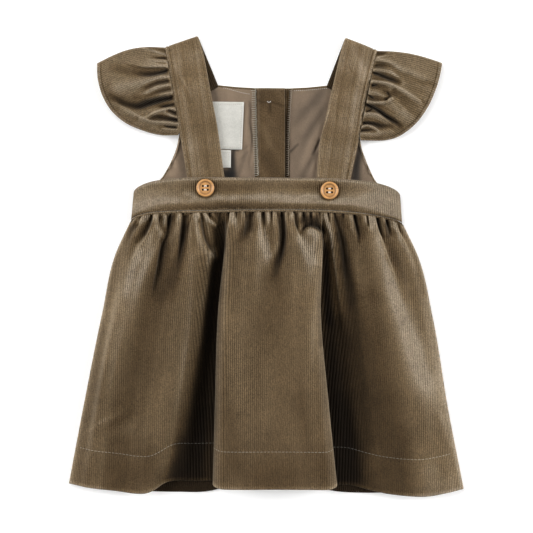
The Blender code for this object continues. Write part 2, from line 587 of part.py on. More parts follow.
def build_button(name, place, collection, cutters):
    """A turned wooden button with a raised rim and four sewing holes."""
    radius = BUTTON_DIAMETER / 2
    foot = float(read_table(BAND_FACE, place[0])) + crowned(0.5) + GAP
    spline = bpy.data.curves.new(name, "CURVE")
    spline.dimensions = "3D"
    line = spline.splines.new("POLY")
    line.points.add(len(BUTTON_PROFILE) - 1)
    for point, (share, height) in zip(line.points, BUTTON_PROFILE):
        point.co = (share * radius * MM, 0.0, height * MM, 1.0)
    profile = bpy.data.objects.new(name + "_profile", spline)
    mesh = bpy.data.meshes.new_from_object(profile)
    bpy.data.objects.remove(profile)
    mesh.name = name
    button = add_object(name, mesh, "wood", collection)
    button.location = (place[0] * MM, place[1] * MM, foot * MM)
    screw = button.modifiers.new("turn", "SCREW")
    screw.steps = screw.render_steps = BUTTON_STEPS
    screw.use_merge_vertices = True
    screw.merge_threshold = 0.00001
    bore = HOLE_DIAMETER / 2 * MM
    for k, (sx, sy) in enumerate(((-1, -1), (1, -1), (1, 1), (-1, 1))):
        tool = bmesh.new()
        bmesh.ops.create_cone(tool, cap_ends=True, segments=8, radius1=bore, radius2=bore, depth=12 * MM)
        hole = bpy.data.meshes.new(f"{name}_hole_{k}")
        tool.to_mesh(hole)
        tool.free()
        cutter = bpy.data.objects.new(hole.name, hole)
        cutters.objects.link(cutter)
        cutter.location = button.location
        cutter.location.x += sx * HOLE_OFFSET[0] * MM
        cutter.location.y += sy * HOLE_OFFSET[1] * MM
        cutter.hide_render = True
        cutter.display_type = "WIRE"
        cut = button.modifiers.new(f"hole {k}", "BOOLEAN")
        cut.operation = "DIFFERENCE"
        cut.object = cutter


def main():
    """Clear the scene and build every piece."""
    for old in list(bpy.data.objects):
        bpy.data.objects.remove(old)
    dress = bpy.data.collections.new("pinafore_dress")
    cutters = bpy.data.collections.new("cutters")
    for group in (dress, cutters):
        bpy.context.scene.collection.children.link(group)
    build_skirt_back(dress)
    build_skirt_front(dress)
    build_bodice(dress)
    build_waistband(dress)
    for side in ("left", "right"):
        build_strap(side, dress)
        build_flutter(side, dress)
    build_labels(dress)
    for name, place in BUTTONS.items():
        build_button(name, place, dress, cutters)


main()
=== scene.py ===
"""A baby's corduroy pinafore dress, laid flat with its front up, on a pale floor in soft light.

The neck lies towards +Y, the hem towards -Y and +Z is up. Every visible piece of cloth is a thin shell on
the solid that it stands for. Tables are in millimetres, and Net.mesh() turns them into metres.
"""

import logging
import math
from collections.abc import Callable
from dataclasses import dataclass
from enum import Enum

import bmesh
import bpy
import numpy as np
from mathutils import Matrix, Vector
from numpy.typing import ArrayLike


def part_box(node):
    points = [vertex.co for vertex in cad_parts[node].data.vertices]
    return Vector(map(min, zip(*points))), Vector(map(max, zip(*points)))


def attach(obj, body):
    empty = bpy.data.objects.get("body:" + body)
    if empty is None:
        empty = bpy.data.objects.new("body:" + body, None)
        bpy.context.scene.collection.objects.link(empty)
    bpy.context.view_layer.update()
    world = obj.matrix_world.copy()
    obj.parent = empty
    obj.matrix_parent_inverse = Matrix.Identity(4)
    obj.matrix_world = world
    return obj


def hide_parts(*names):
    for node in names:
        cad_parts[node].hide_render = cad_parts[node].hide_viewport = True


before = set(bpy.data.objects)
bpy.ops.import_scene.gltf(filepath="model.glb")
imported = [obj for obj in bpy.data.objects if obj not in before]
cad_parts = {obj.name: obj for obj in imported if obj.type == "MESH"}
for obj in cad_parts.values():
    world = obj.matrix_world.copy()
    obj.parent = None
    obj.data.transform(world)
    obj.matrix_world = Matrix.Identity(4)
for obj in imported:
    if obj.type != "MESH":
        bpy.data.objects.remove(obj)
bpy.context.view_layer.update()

MM = 0.001
UV_MAP = "cloth"
# the point attribute that carries painted light and shade into the materials
SHADE = "shade"
log = logging.getLogger("dress")

Points = list[tuple[float, ...]]
Corners = tuple[tuple[float, float], ...]
Colour = tuple[float, float, float]
Socket = bpy.types.NodeSocket
WHITE = (1.0, 1.0, 1.0, 1.0)
UP = (0.0, 0.0, 1.0)


class Side(Enum):
    """The viewer's side of the dress."""

    LEFT = "left"
    RIGHT = "right"

    @property
    def out(self) -> int:
        """The sign of x on this side."""
        return -1 if self is Side.LEFT else 1


class Slot(Enum):
    """The record's material slots."""

    CORDUROY = "corduroy"
    LINING = "lining"
    LABEL = "label"
    WOOD = "wood"


# ---------------------------------------------------------------- curves and nets of points


def hermite(knots: ArrayLike, values: ArrayLike, at: ArrayLike) -> np.ndarray:
    """Read a smooth curve through rows of values, given at rising knots.

    Args:
        knots: Where the rows are given.
        values: One row for each knot.
        at: Where to read.

    Returns:
        One row for each place in at.
    """
    knots = np.asarray(knots, float)
    values = np.asarray(values, float)
    tangents = np.gradient(values, knots, axis=0)
    at = np.asarray(at, float)
    first = np.clip(np.searchsorted(knots, at, side="right") - 1, 0, len(knots) - 2)
    span = (knots[first + 1] - knots[first])[:, None]
    t = (at - knots[first])[:, None] / span
    return (
        (1 + 2 * t) * (1 - t) ** 2 * values[first]
        + t * (1 - t) ** 2 * span * tangents[first]
        + t * t * (3 - 2 * t) * values[first + 1]
        + t * t * (t - 1) * span * tangents[first + 1]
    )


def along(points: ArrayLike, samples: int = 40) -> tuple[np.ndarray, np.ndarray]:
    """Trace a smooth curve through a few points.

    Args:
        points: The points, in order.
        samples: How many dense points lie between two given ones.

    Returns:
        The dense points, and how far along the curve each lies.
    """
    points = np.asarray(points, float)
    steps = np.linalg.norm(np.diff(points, axis=0), axis=1)
    knots = np.concatenate([[0.0], np.cumsum(np.sqrt(steps))])
    dense = hermite(knots, points, np.linspace(0.0, knots[-1], samples * (len(points) - 1) + 1))
    length = np.concatenate([[0.0], np.cumsum(np.linalg.norm(np.diff(dense, axis=0), axis=1))])
    return dense, length


def edge(*runs: Points) -> Callable[[ArrayLike], np.ndarray]:
    """Make an edge of smooth runs that meet at corners.

    Args:
        runs: Rows of points, one for each run.

    Returns:
        A function from shares of the edge's length to points on it.
    """
    traced = [along(run) for run in runs]
    points = np.concatenate([dense for dense, _ in traced])
    ends = np.cumsum([0.0, *(length[-1] for _, length in traced)])
    shares = np.concatenate([start + length for start, (_, length) in zip(ends, traced)]) / ends[-1]

    def at(share: ArrayLike) -> np.ndarray:
        """The points at these shares."""
        return np.stack([np.interp(share, shares, points[:, axis]) for axis in range(points.shape[1])], -1)

    return at


def ease(low: float, high: float, x: ArrayLike) -> np.ndarray:
    """Rise smoothly from 0 at low to 1 at high."""
    t = np.clip((x - low) / (high - low), 0.0, 1.0)
    return t * t * (3 - 2 * t)


def bell(x: np.ndarray, middle: ArrayLike, width: ArrayLike) -> np.ndarray:
    """Rise smoothly to 1 at the middle, and fall to 1/e at a width from it."""
    return np.exp(-(((x - middle) / width) ** 2))


def raised(plan: np.ndarray, height: ArrayLike) -> np.ndarray:
    """Plan points lifted to a height."""
    return np.concatenate([plan, (plan[..., 0] * 0 + height)[..., None]], -1)


def unit(vectors: np.ndarray) -> np.ndarray:
    """The same directions at length 1."""
    return vectors / np.maximum(np.linalg.norm(vectors, axis=-1, keepdims=True), 1e-9)


def normals(surface: np.ndarray) -> np.ndarray:
    """Unit normals of a net whose rows run down it and whose columns run to the right."""
    return unit(np.cross(np.gradient(surface, axis=0), np.gradient(surface, axis=1)))


def outward(start: np.ndarray, end: np.ndarray) -> np.ndarray:
    """The direction in plan across the way from start to end, on the side of the neck.

    Args:
        start: A point, as x and y.
        end: Another point.

    Returns:
        A vector of length 1.
    """
    over = unit(end - start)
    across = np.array([-over[1], over[0]])
    return across if across[1] > 0 else -across


def arc(points: np.ndarray, axis: int) -> np.ndarray:
    """How far along a net's rows or columns each point lies.

    Args:
        points: The net.
        axis: 0 to go down its columns, 1 to go along its rows.

    Returns:
        The distance from the net's edge.
    """
    steps = np.linalg.norm(np.diff(points, axis=axis), axis=-1)
    start = np.zeros_like(np.take(steps, [0], axis=axis))
    return np.concatenate([start, np.cumsum(steps, axis=axis)], axis=axis)


def read_table(table: Points, x: ArrayLike) -> np.ndarray:
    """Read a smooth curve, given as rows of x and its value, at any x."""
    table = np.asarray(table, float)
    return hermite(table[:, 0], table[:, 1:], np.ravel(x))[:, 0].reshape(np.shape(x))


def ripple(x: ArrayLike, seed: int, lengths: tuple[float, ...]) -> np.ndarray:
    """A soft uneven wave along x, from about -1 to 1.

    Args:
        x: Where to read it.
        seed: Which wave.
        lengths: The wavelengths that it is made of, in the units of x.

    Returns:
        The wave at x.
    """
    phases = np.random.default_rng(seed).uniform(0.0, 2 * math.pi, len(lengths))
    waves = [np.sin(2 * math.pi * np.asarray(x) / long + phase) for long, phase in zip(lengths, phases)]
    return np.sum(waves, axis=0) / math.sqrt(len(lengths))


@dataclass(frozen=True)
class Crease:
    """A soft ridge, or a trough where its heights are negative, placed on a sheet.

    Attributes:
        heights: Along its path, in mm.
        widths: Its half width at the start and at the end, in mm.
        path: Plan points, in mm.
        crisp: The side on which it falls away like a pressed fold's edge, seen with its path running down.
        fall: How wide that side is, in mm.
    """

    heights: tuple[float, ...]
    widths: tuple[float, float]
    path: Points
    crisp: Side | None = None
    fall: float = 1.0

    def on(self, plan: np.ndarray) -> np.ndarray:
        """Measure the crease on a net.

        Args:
            plan: The net's x and y.

        Returns:
            How far the crease lifts each point.
        """
        dense, length = along(self.path, samples=14)
        share = length / length[-1]
        height = np.interp(share, np.linspace(0.0, 1.0, len(self.heights)), self.heights)
        width = self.widths[0] + (self.widths[1] - self.widths[0]) * share
        reach = 3 * max(self.widths)
        near = np.all((plan > dense.min(0) - reach) & (plan < dense.max(0) + reach), axis=-1)
        away = np.linalg.norm(plan[near][:, None] - dense[None], axis=-1)
        closest = away.argmin(axis=1)
        away = away[np.arange(len(away)), closest]
        width = width[closest]
        if self.crisp:
            offset, heading = plan[near] - dense[closest], unit(np.gradient(dense, axis=0))[closest]
            beyond = (heading[:, 0] * offset[:, 1] - heading[:, 1] * offset[:, 0]) * self.crisp.out
            width = width + (self.fall - width) * ease(-0.3, 0.3, beyond)
        lift = np.zeros(plan.shape[:-1])
        lift[near] = height[closest] * bell(away, 0.0, width)
        return lift


def relief(plan: np.ndarray, table: tuple[Crease, ...]) -> np.ndarray:
    """The lift of several creases together."""
    return sum((crease.on(plan) for crease in table), np.zeros(plan.shape[:-1]))


def creases(*rows: tuple) -> tuple[Crease, ...]:
    """Read a table of creases.

    Args:
        rows: For each crease its heights, its widths and its path as x and y in turn, then its crisp side if
            it has one. One number stands for heights, or for widths, that are all alike.

    Returns:
        The creases, in the table's order.
    """
    made = []
    for heights, widths, path, *crisp in rows:
        heights = heights if isinstance(heights, tuple) else (heights,)
        widths = widths if isinstance(widths, tuple) else (widths, widths)
        made.append(Crease(heights, widths, list(zip(path[::2], path[1::2])), *crisp))
    return tuple(made)


def openness(points: np.ndarray, axis: int, shifts: tuple[int, ...]) -> np.ndarray:
    """How open a net lies to the light along its rows or columns.

    Args:
        points: The net.
        axis: 0 to look along its columns, 1 along its rows.
        shifts: How many points away to look for higher cloth.

    Returns:
        1 where one side at least is free, and towards 0 at the bottom of a deep fold.
    """
    blocked = np.ones(points.shape[:2])
    for sign in (-1, 1):
        horizon = np.zeros(points.shape[:2])
        for shift in shifts:
            place = np.clip(np.arange(points.shape[axis]) + sign * shift, 0, points.shape[axis] - 1)
            other = np.take(points, place, axis=axis)
            heading = np.take(points, np.clip(place + sign, 0, points.shape[axis] - 1), axis=axis) - points
            away = unit(heading[..., :2])
            distance = np.maximum(((other - points)[..., :2] * away).sum(-1), 0.4)
            rise = np.maximum(other[..., 2] - points[..., 2], 0.0)
            horizon = np.maximum(horizon, rise / np.hypot(rise, distance))
        blocked *= horizon
    return 1.0 - np.sqrt(blocked)


@dataclass
class Net:
    """A net of points with its cloth coordinates.

    Attributes:
        points: Rows of points in mm. Rows run down the piece and columns to the right.
        across: The cloth coordinate across the wales, in mm, for each point.
        down: The cloth coordinate along the wales, in mm, for each point.
        shade: The painted light and shade at each point, or None for 1 everywhere.
        closed: Whether the last column meets the first.
    """

    points: np.ndarray
    across: np.ndarray
    down: np.ndarray
    shade: np.ndarray | None = None
    closed: bool = False

    def mesh(self, name: str) -> bpy.types.Mesh:
        """Lay a grid of faces through the points.

        Args:
            name: The mesh's name.

        Returns:
            The mesh in metres, with its cloth coordinates and its shade.
        """
        rows, columns = self.points.shape[:2]
        grid = bmesh.new()
        bmesh.ops.create_grid(grid, x_segments=columns - 1, y_segments=rows - 1, size=0.5)
        mesh = bpy.data.meshes.new(name)
        grid.to_mesh(mesh)
        grid.free()
        flat = np.empty(len(mesh.vertices) * 3, np.float32)
        mesh.vertices.foreach_get("co", flat)
        flat = flat.reshape(-1, 3)
        column = np.rint((flat[:, 0] + 0.5) * (columns - 1)).astype(int)
        row = rows - 1 - np.rint((flat[:, 1] + 0.5) * (rows - 1)).astype(int)
        mesh.vertices.foreach_set("co", (self.points[row, column] * MM).astype(np.float32).ravel())
        corner = np.empty(len(mesh.loops), np.int32)
        mesh.loops.foreach_get("vertex_index", corner)
        places = np.stack([self.across[row, column], self.down[row, column]], -1)[corner] * MM
        mesh.uv_layers.new(name=UV_MAP).data.foreach_set("uv", places.astype(np.float32).ravel())
        shade = np.ones(len(row)) if self.shade is None else self.shade[row, column]
        mesh.attributes.new(SHADE, "FLOAT", "POINT").data.foreach_set("value", shade.astype(np.float32))
        if self.closed:
            welded = bmesh.new()
            welded.from_mesh(mesh)
            bmesh.ops.remove_doubles(welded, verts=welded.verts[:], dist=1e-7)
            welded.to_mesh(mesh)
            welded.free()
        mesh.shade_smooth()
        return mesh


def rolled(net: Net, radius: float, depth: int) -> Net:
    """Turn a sheet's last row under, as a hem.

    Args:
        net: The sheet's face.
        radius: Of the turn, in mm.
        depth: How many of the sheet's rows the turned part lies under.

    Returns:
        The sheet with the turn and the turned part as more rows.
    """
    face = net.points
    facing = normals(face)
    away = unit(face[-1] - face[-2])
    centre = face[-1] - facing[-1] * radius
    turn = [
        centre + facing[-1] * radius * math.cos(angle) + away * radius * math.sin(angle)
        for angle in np.radians((30, 60, 90, 120, 150))
    ]
    under = (face - facing * 2 * radius)[-1 : -depth - 1 : -1]
    points = np.concatenate([face, np.array(turn), under])
    more = len(points) - len(face)
    last = arc(points[len(face) - 1 :], 0)[1:]
    return Net(
        points,
        np.concatenate([net.across, np.repeat(net.across[-1:], more, axis=0)]),
        np.concatenate([net.down, net.down[-1] + last]),
        None if net.shade is None else np.concatenate([net.shade, np.repeat(net.shade[-1:], more, axis=0)]),
    )


def strip(
    low: np.ndarray, high: np.ndarray, facing: np.ndarray, thick: ArrayLike, lift: np.ndarray
) -> np.ndarray:
    """Wrap a flattened tube with round edges round a ribbon.

    Args:
        low: The ribbon's first edge at the middle of its thickness, a point for each row.
        high: Its other edge.
        facing: The direction of its face, for each row.
        thick: Its thickness in mm, for each row or for all.
        lift: How far the face stands up or sinks, for each row and each point across the face.

    Returns:
        Closed rows of points, over the face from low to high and back under it.
    """
    rows, steps = lift.shape
    half = np.broadcast_to(np.asarray(thick, float), (rows,))[:, None, None] / 2
    over = unit(high - low)[:, None]
    facing = facing[:, None]
    width = np.linalg.norm(high - low, axis=1)[:, None, None]
    share = np.linspace(0.0, 1.0, steps)[None, :, None]
    start = low[:, None] + over * half
    face = start + over * (width - 2 * half) * share + facing * half + facing * lift[..., None]
    back = (start + over * (width - 2 * half) * share - facing * half)[:, ::-3]
    turns = np.radians((60, 30, 0, -30, -60))[None, :, None]
    far = high[:, None] - over * half
    far_edge = far + (over * np.cos(turns) + facing * np.sin(turns)) * half
    near_edge = start + (-over * np.cos(turns) - facing * np.sin(turns)) * half
    return np.concatenate([face, far_edge, back, near_edge, face[:, :1]], axis=1)


def capped(rings: np.ndarray) -> np.ndarray:
    """Draw both ends of a tube to a point."""
    first, last = (rings[k].mean(axis=0)[None, None] + rings[k][None] * 0 for k in (0, -1))
    return np.concatenate([first, rings, last])


def tube(path: np.ndarray, radius: ArrayLike, sides: int) -> np.ndarray:
    """Closed rings of points round a path.

    Args:
        path: The tube's middle line.
        radius: In mm, for the whole tube or for each point of the path.
        sides: How many points go round it.

    Returns:
        A ring for each point of the path.
    """
    heading = unit(np.gradient(path, axis=0))
    level = unit(np.cross(heading, UP) + (1e-6, 0.0, 0.0))
    upright = np.cross(level, heading)
    angle = np.linspace(0.0, 2 * math.pi, sides + 1)[None, :, None]
    radius = np.broadcast_to(np.asarray(radius, float), (len(path),))[:, None, None]
    return path[:, None] + radius * (level[:, None] * np.cos(angle) + upright[:, None] * np.sin(angle))


def finished(form: bmesh.types.BMesh, name: str) -> bpy.types.Mesh:
    """Turn a finished form into a smooth mesh.

    Args:
        form: The form in metres, which is freed.
        name: The mesh's name.

    Returns:
        The mesh.
    """
    mesh = bpy.data.meshes.new(name)
    form.to_mesh(mesh)
    form.free()
    mesh.shade_smooth()
    return mesh


def joined(rings: list[np.ndarray], name: str) -> bpy.types.Mesh:
    """Join several tubes.

    Args:
        rings: The points of each, from tube().
        name: The mesh's name.

    Returns:
        One mesh.
    """
    whole = bmesh.new()
    for ring in rings:
        part = Net(ring, ring[..., 0], ring[..., 1], closed=True).mesh(name + "_part")
        whole.from_mesh(part)
        bpy.data.meshes.remove(part)
    return finished(whole, name)


# ---------------------------------------------------------------- pieces


@dataclass(frozen=True)
class Cut:
    """The flat cloth that a sheet was cut from.

    Attributes:
        flat: Its width and length in metres.
        held: How the cloth is held.
        rests_on: The CAD nodes or pieces beneath it.
        area: Its area in square metres, where it isn't a rectangle.
    """

    flat: tuple[float, float]
    held: str
    rests_on: tuple[str, ...]
    area: float | None = None


def add_piece(
    name: str, form: Net | bpy.types.Mesh, finish: "Finish", slot: Slot | None = None, *nodes: str
) -> bpy.types.Object:
    """Put a form in the scene as one piece that rides on the dress.

    Args:
        name: The piece's name.
        form: Its net, or its mesh in metres.
        finish: What it is made of.
        slot: The record's slot; not used.
        nodes: The CAD nodes that it stands for.

    Returns:
        The piece.
    """
    mesh = form.mesh(name) if isinstance(form, Net) else form
    mesh.materials.append(finish.material())
    piece = bpy.data.objects.new(name, mesh)
    bpy.context.scene.collection.objects.link(piece)
    if nodes:
        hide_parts(*nodes)
    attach(piece, "root")
    log.info("%s: %d faces", name, len(mesh.polygons))
    return piece


def thicken(piece: bpy.types.Object, thick: float) -> None:
    """Give a sheet its thickness, under its face.

    Args:
        piece: The sheet.
        thick: In mm.
    """
    shell = piece.modifiers.new("thickness", "SOLIDIFY")
    shell.thickness = thick * MM
    shell.offset = -1.0


# ---------------------------------------------------------------- finishes


class Graph:
    """A material's or a group's nodes, added and linked in one call each."""

    def __init__(self, tree: bpy.types.NodeTree) -> None:
        """Start from a tree."""
        self.tree = tree

    def add(self, kind: str, inputs: dict | None = None, **settings) -> bpy.types.Node:
        """Add a node.

        Args:
            kind: Its Blender type, such as "ShaderNodeMath".
            inputs: Values or other nodes' sockets, by the input's name or number.
            settings: The node's own properties.

        Returns:
            The node.
        """
        node = self.tree.nodes.new(kind)
        for name, value in settings.items():
            setattr(node, name, value)
        for name, value in (inputs or {}).items():
            if isinstance(value, bpy.types.NodeSocket):
                self.tree.links.new(value, node.inputs[name])
            else:
                node.inputs[name].default_value = value
        return node

    def link(self, output: Socket, node: bpy.types.Node, name: str) -> None:
        """Lead a socket to a node's input."""
        self.tree.links.new(output, node.inputs[name])

    def math(self, operation: str, *values: Socket | float) -> Socket:
        """The result of one sum on numbers or sockets."""
        return self.add("ShaderNodeMath", dict(enumerate(values)), operation=operation).outputs[0]

    def shade(self) -> Socket:
        """The painted light and shade of the piece at each point."""
        return self.add("ShaderNodeAttribute", attribute_name=SHADE).outputs["Fac"]

    def cloth(self) -> tuple[Socket, Socket]:
        """The cloth coordinates, in metres."""
        place = self.add("ShaderNodeUVMap", uv_map=UV_MAP).outputs[0]
        return tuple(self.add("ShaderNodeSeparateXYZ", {0: place}).outputs[:2])

    def noise(self, place: Socket, scale: float, detail: float = 2.0) -> Socket:
        """Soft noise from 0 to 1 at a place, with so many features to the metre."""
        made = self.add("ShaderNodeTexNoise", {"Vector": place, "Scale": scale, "Detail": detail})
        return made.outputs["Fac"]

    def span(self, value: Socket, low: float, high: float, to_low: float, to_high: float) -> Socket:
        """Move a value from one range to another, and hold it inside."""
        inputs = {"Value": value, 1: low, 2: high, 3: to_low, 4: to_high}
        return self.add("ShaderNodeMapRange", inputs, clamp=True).outputs[0]

    def tint(self, colour: Socket | Colour, factor: Socket) -> Socket:
        """A colour times a factor."""
        inputs = {"Vector": colour, "Scale": factor}
        return self.add("ShaderNodeVectorMath", inputs, operation="SCALE").outputs["Vector"]


def mottle_group() -> bpy.types.NodeTree:
    """The unevenness of cloth, shared by every fabric.

    Returns:
        A group that gives broad handling marks, a fine speckle of fibres, and where the pile is matted.
    """
    name = "cloth_mottle"
    if name in bpy.data.node_groups:
        return bpy.data.node_groups[name]
    group = bpy.data.node_groups.new(name, "ShaderNodeTree")
    for socket, way, kind in (
        ("Vector", "INPUT", "NodeSocketVector"),
        ("Broad", "OUTPUT", "NodeSocketFloat"),
        ("Speckle", "OUTPUT", "NodeSocketFloat"),
        ("Matted", "OUTPUT", "NodeSocketFloat"),
    ):
        group.interface.new_socket(socket, in_out=way, socket_type=kind)
    graph = Graph(group)
    start = graph.add("NodeGroupInput").outputs["Vector"]
    broad = graph.math("ADD", graph.noise(start, 38.0, 1.0), graph.noise(start, 150.0, 1.0))
    made = {
        "Broad": graph.math("MULTIPLY", broad, 0.5),
        "Speckle": graph.noise(start, 950.0),
        "Matted": graph.span(graph.noise(start, 15.0, 1.0), 0.42, 0.6, 0.0, 1.0),
    }
    graph.add("NodeGroupOutput", made)
    return group


@dataclass(frozen=True)
class Finish:
    """What a piece is made of.

    Attributes:
        name: The material's name.
        colour: The base colour, linear.
        roughness: Of the surface.
    """

    name: str
    colour: Colour
    roughness: float

    def material(self) -> bpy.types.Material:
        """Make the Blender material, once.

        Returns:
            The material.
        """
        if self.name in bpy.data.materials:
            return bpy.data.materials[self.name]
        made = bpy.data.materials.new(self.name)
        made.use_nodes = True
        made.diffuse_color = (*self.colour, 1.0)
        graph = Graph(made.node_tree)
        shader = made.node_tree.nodes["Principled BSDF"]
        preset(shader, {"Base Color": (*self.colour, 1.0), "Roughness": self.roughness})
        self.dress(graph, shader)
        return made

    def dress(self, graph: Graph, shader: bpy.types.Node) -> None:
        """Add what is special to this finish.

        Args:
            graph: The material's nodes.
            shader: Its surface.
        """

    def place(self, graph: Graph) -> Socket:
        """The object's own coordinates, in metres."""
        return graph.add("ShaderNodeTexCoord").outputs["Object"]

    def mottle(self, graph: Graph) -> tuple[Socket, ...]:
        """The unevenness of the cloth at each point.

        Args:
            graph: The material's nodes.

        Returns:
            Its broad marks, its speckle and where its pile is matted.
        """
        node = graph.add("ShaderNodeGroup", node_tree=mottle_group())
        graph.link(self.place(graph), node, "Vector")
        return tuple(node.outputs)

    def paint(self, graph: Graph, shader: bpy.types.Node, lit: Socket) -> None:
        """Colour the surface, lighter or darker where the light of it says."""
        graph.link(graph.tint(self.colour, lit), shader, "Base Color")

    def bump(self, graph: Graph, shader: bpy.types.Node, height: Socket, distance: float) -> None:
        """Raise the surface by a height from 0 to 1 over a distance in mm."""
        node = graph.add("ShaderNodeBump", {"Height": height, "Distance": distance * MM, "Strength": 1.0})
        graph.link(node.outputs["Normal"], shader, "Normal")


def preset(node: bpy.types.Node, values: dict[str, float | tuple[float, ...]]) -> None:
    """Set a node's inputs by their names."""
    for name, value in values.items():
        node.inputs[name].default_value = value


@dataclass(frozen=True)
class Corduroy(Finish):
    """Ribbed cotton pile.

    Attributes:
        wale: The spacing of its ribs in mm.
        groove: How dark the ground between two ribs is.
        matted: How much of that is left where the pile is matted.
        sheen: The light that the pile's tips catch at a low angle.
        pale: The colour that the surface turns towards where it faces away from the camera, a painted sheen.
        pile: How the base colour follows the painted shade: redder where it is painted dark, greyer where it
            is painted light.
    """

    wale: float = 1.7
    groove: float = 0.42
    matted: float = 0.45
    sheen: float = 0.07
    pale: Colour = (0.270, 0.218, 0.153)
    pile: tuple[tuple[float, Colour], ...] = (
        (0.0, (0.03, 0.025, 0.02)), (0.5, (0.53, 0.49, 0.44)), (1.0, (1.0, 1.0, 1.0)),
        (1.5, (1.45, 1.58, 1.85)), (2.0, (1.95, 2.25, 2.95)),
    )

    def dress(self, graph: Graph, shader: bpy.types.Node) -> None:
        """Draw the wales along the cloth, the speckle of the pile, the painted light and shade, and a painted
        sheen.

        Args:
            graph: The material's nodes.
            shader: Its surface.
        """
        broad, speckle, matted = self.mottle(graph)
        across, _ = graph.cloth()
        wander = graph.math("MULTIPLY", graph.math("SUBTRACT", broad, 0.5), 0.35 * self.wale * MM)
        turns = graph.math("DIVIDE", graph.math("ADD", across, wander), self.wale * MM / (2 * math.pi))
        wave = graph.span(graph.math("COSINE", turns), -1.0, 1.0, 0.0, 1.0)
        rib = graph.math("POWER", wave, 0.55)
        shade = graph.shade()
        ground = graph.span(rib, 0.0, 0.85, 1.0 - self.groove, 0.0)
        ground = graph.math("MULTIPLY", ground, graph.span(matted, 0.0, 1.0, 1.1, self.matted))
        # the wales fade where the painted shade is dark
        lit = graph.math("SUBTRACT", 1.0, graph.math("MULTIPLY", ground, graph.math("MINIMUM", shade, 1.0)))
        lit = graph.math("MULTIPLY", lit, graph.span(broad, 0.3, 0.7, 0.86, 1.14))
        lit = graph.math("MULTIPLY", lit, graph.span(speckle, 0.3, 0.7, 0.62, 1.38))
        # painted sheen: the colour turns pale where the surface faces away from the camera
        facing = graph.add("ShaderNodeLayerWeight", {"Blend": 0.5}).outputs["Facing"]
        tilt = graph.span(facing, 0.08, 0.8, 0.0, 0.55)
        # the painted light and shade sets the base colour through a ramp
        base = graph.add("ShaderNodeValToRGB", {0: graph.math("MULTIPLY", shade, 0.5)})
        ramp = base.color_ramp.elements
        for level, _ in self.pile[1:-1]:
            ramp.new(level / 2)
        for element, (_, tints) in zip(ramp, self.pile):
            element.color = (*(min(part * tint, 1.0) for part, tint in zip(self.colour, tints)), 1.0)
        pale = graph.tint(self.pale, graph.math("MINIMUM", shade, 1.0))
        mixed = graph.add("ShaderNodeMix", {0: tilt, 6: base.outputs[0], 7: pale}, data_type="RGBA")
        graph.link(graph.tint(mixed.outputs[2], lit), shader, "Base Color")
        self.bump(graph, shader, graph.math("ADD", rib, graph.math("MULTIPLY", speckle, 0.35)), 0.42)
        preset(shader, {"Sheen Weight": self.sheen, "Sheen Roughness": 0.45, "Specular IOR Level": 0.09})
        preset(shader, {"Sheen Tint": (0.95, 0.84, 0.66, 1.0)})


@dataclass(frozen=True)
class Cotton(Finish):
    """Smooth plain-woven cloth.

    Attributes:
        thread: The spacing of its threads in mm.
        sheen: Of its surface.
    """

    thread: float = 0.45
    sheen: float = 0.15

    def dress(self, graph: Graph, shader: bpy.types.Node) -> None:
        """Draw the crossing threads, the unevenness of the cloth and its painted light and shade.

        Args:
            graph: The material's nodes.
            shader: Its surface.
        """
        broad, speckle, _ = self.mottle(graph)
        rate = 2 * math.pi / (self.thread * MM)
        threads = [graph.math("SINE", graph.math("MULTIPLY", place, rate)) for place in graph.cloth()]
        weave = graph.span(graph.math("MULTIPLY", *threads), -1.0, 1.0, 0.0, 1.0)
        # painted light and shade from the shade attribute
        lit = graph.math("MULTIPLY", graph.span(broad, 0.3, 0.7, 0.9, 1.1), graph.shade())
        lit = graph.math("MULTIPLY", lit, graph.span(speckle, 0.3, 0.7, 0.92, 1.08))
        lit = graph.math("MULTIPLY", lit, graph.span(weave, 0.0, 1.0, 0.9, 1.05))
        self.paint(graph, shader, lit)
        self.bump(graph, shader, graph.math("ADD", weave, speckle), 0.06)
        preset(shader, {"Sheen Weight": self.sheen, "Specular IOR Level": 0.25})


@dataclass(frozen=True)
class Wood(Finish):
    """Turned and lightly waxed wood."""

    def dress(self, graph: Graph, shader: bpy.types.Node) -> None:
        """Draw the grain, with the painted shade and highlights of the button's rings.

        Args:
            graph: The material's nodes.
            shader: Its surface.
        """
        place = self.place(graph)
        drawn = graph.add("ShaderNodeMapping", {"Vector": place, "Scale": (140.0, 900.0, 300.0)}).outputs[0]
        grain = graph.noise(drawn, 1.0, 3.0)
        broad = graph.span(graph.noise(place, 160.0, 1.0), 0.3, 0.7, 0.9, 1.1)
        lit = graph.math("MULTIPLY", graph.span(grain, 0.3, 0.7, 0.78, 1.12), broad)
        # painted shade in the button's groove and painted highlight on its rim, from the shade attribute
        self.paint(graph, shader, graph.math("MULTIPLY", lit, graph.shade()))
        graph.link(graph.span(grain, 0.2, 0.8, 0.6, 0.42), shader, "Roughness")
        self.bump(graph, shader, grain, 0.05)


@dataclass(frozen=True)
class Thread(Finish):
    """Sewing thread, with its twist."""

    def dress(self, graph: Graph, shader: bpy.types.Node) -> None:
        """Draw the twist as fine slanted bands, and the painted shade that the thread takes from the cloth.

        Args:
            graph: The material's nodes.
            shader: Its surface.
        """
        turned = {"Vector": self.place(graph), "Rotation": (0.4, 0.3, 0.7)}
        twist = graph.add("ShaderNodeMapping", turned).outputs[0]
        wave = graph.add("ShaderNodeTexWave", {"Vector": twist, "Scale": 900.0, "Distortion": 1.5})
        bands = wave.outputs["Fac"]
        # painted shade from the shade attribute, darker where the hem's stitches cross deep folds
        lit = graph.math("MULTIPLY", graph.span(bands, 0.0, 1.0, 0.8, 1.1), graph.shade())
        self.paint(graph, shader, lit)
        self.bump(graph, shader, bands, 0.05)
        preset(shader, {"Sheen Weight": 0.2})


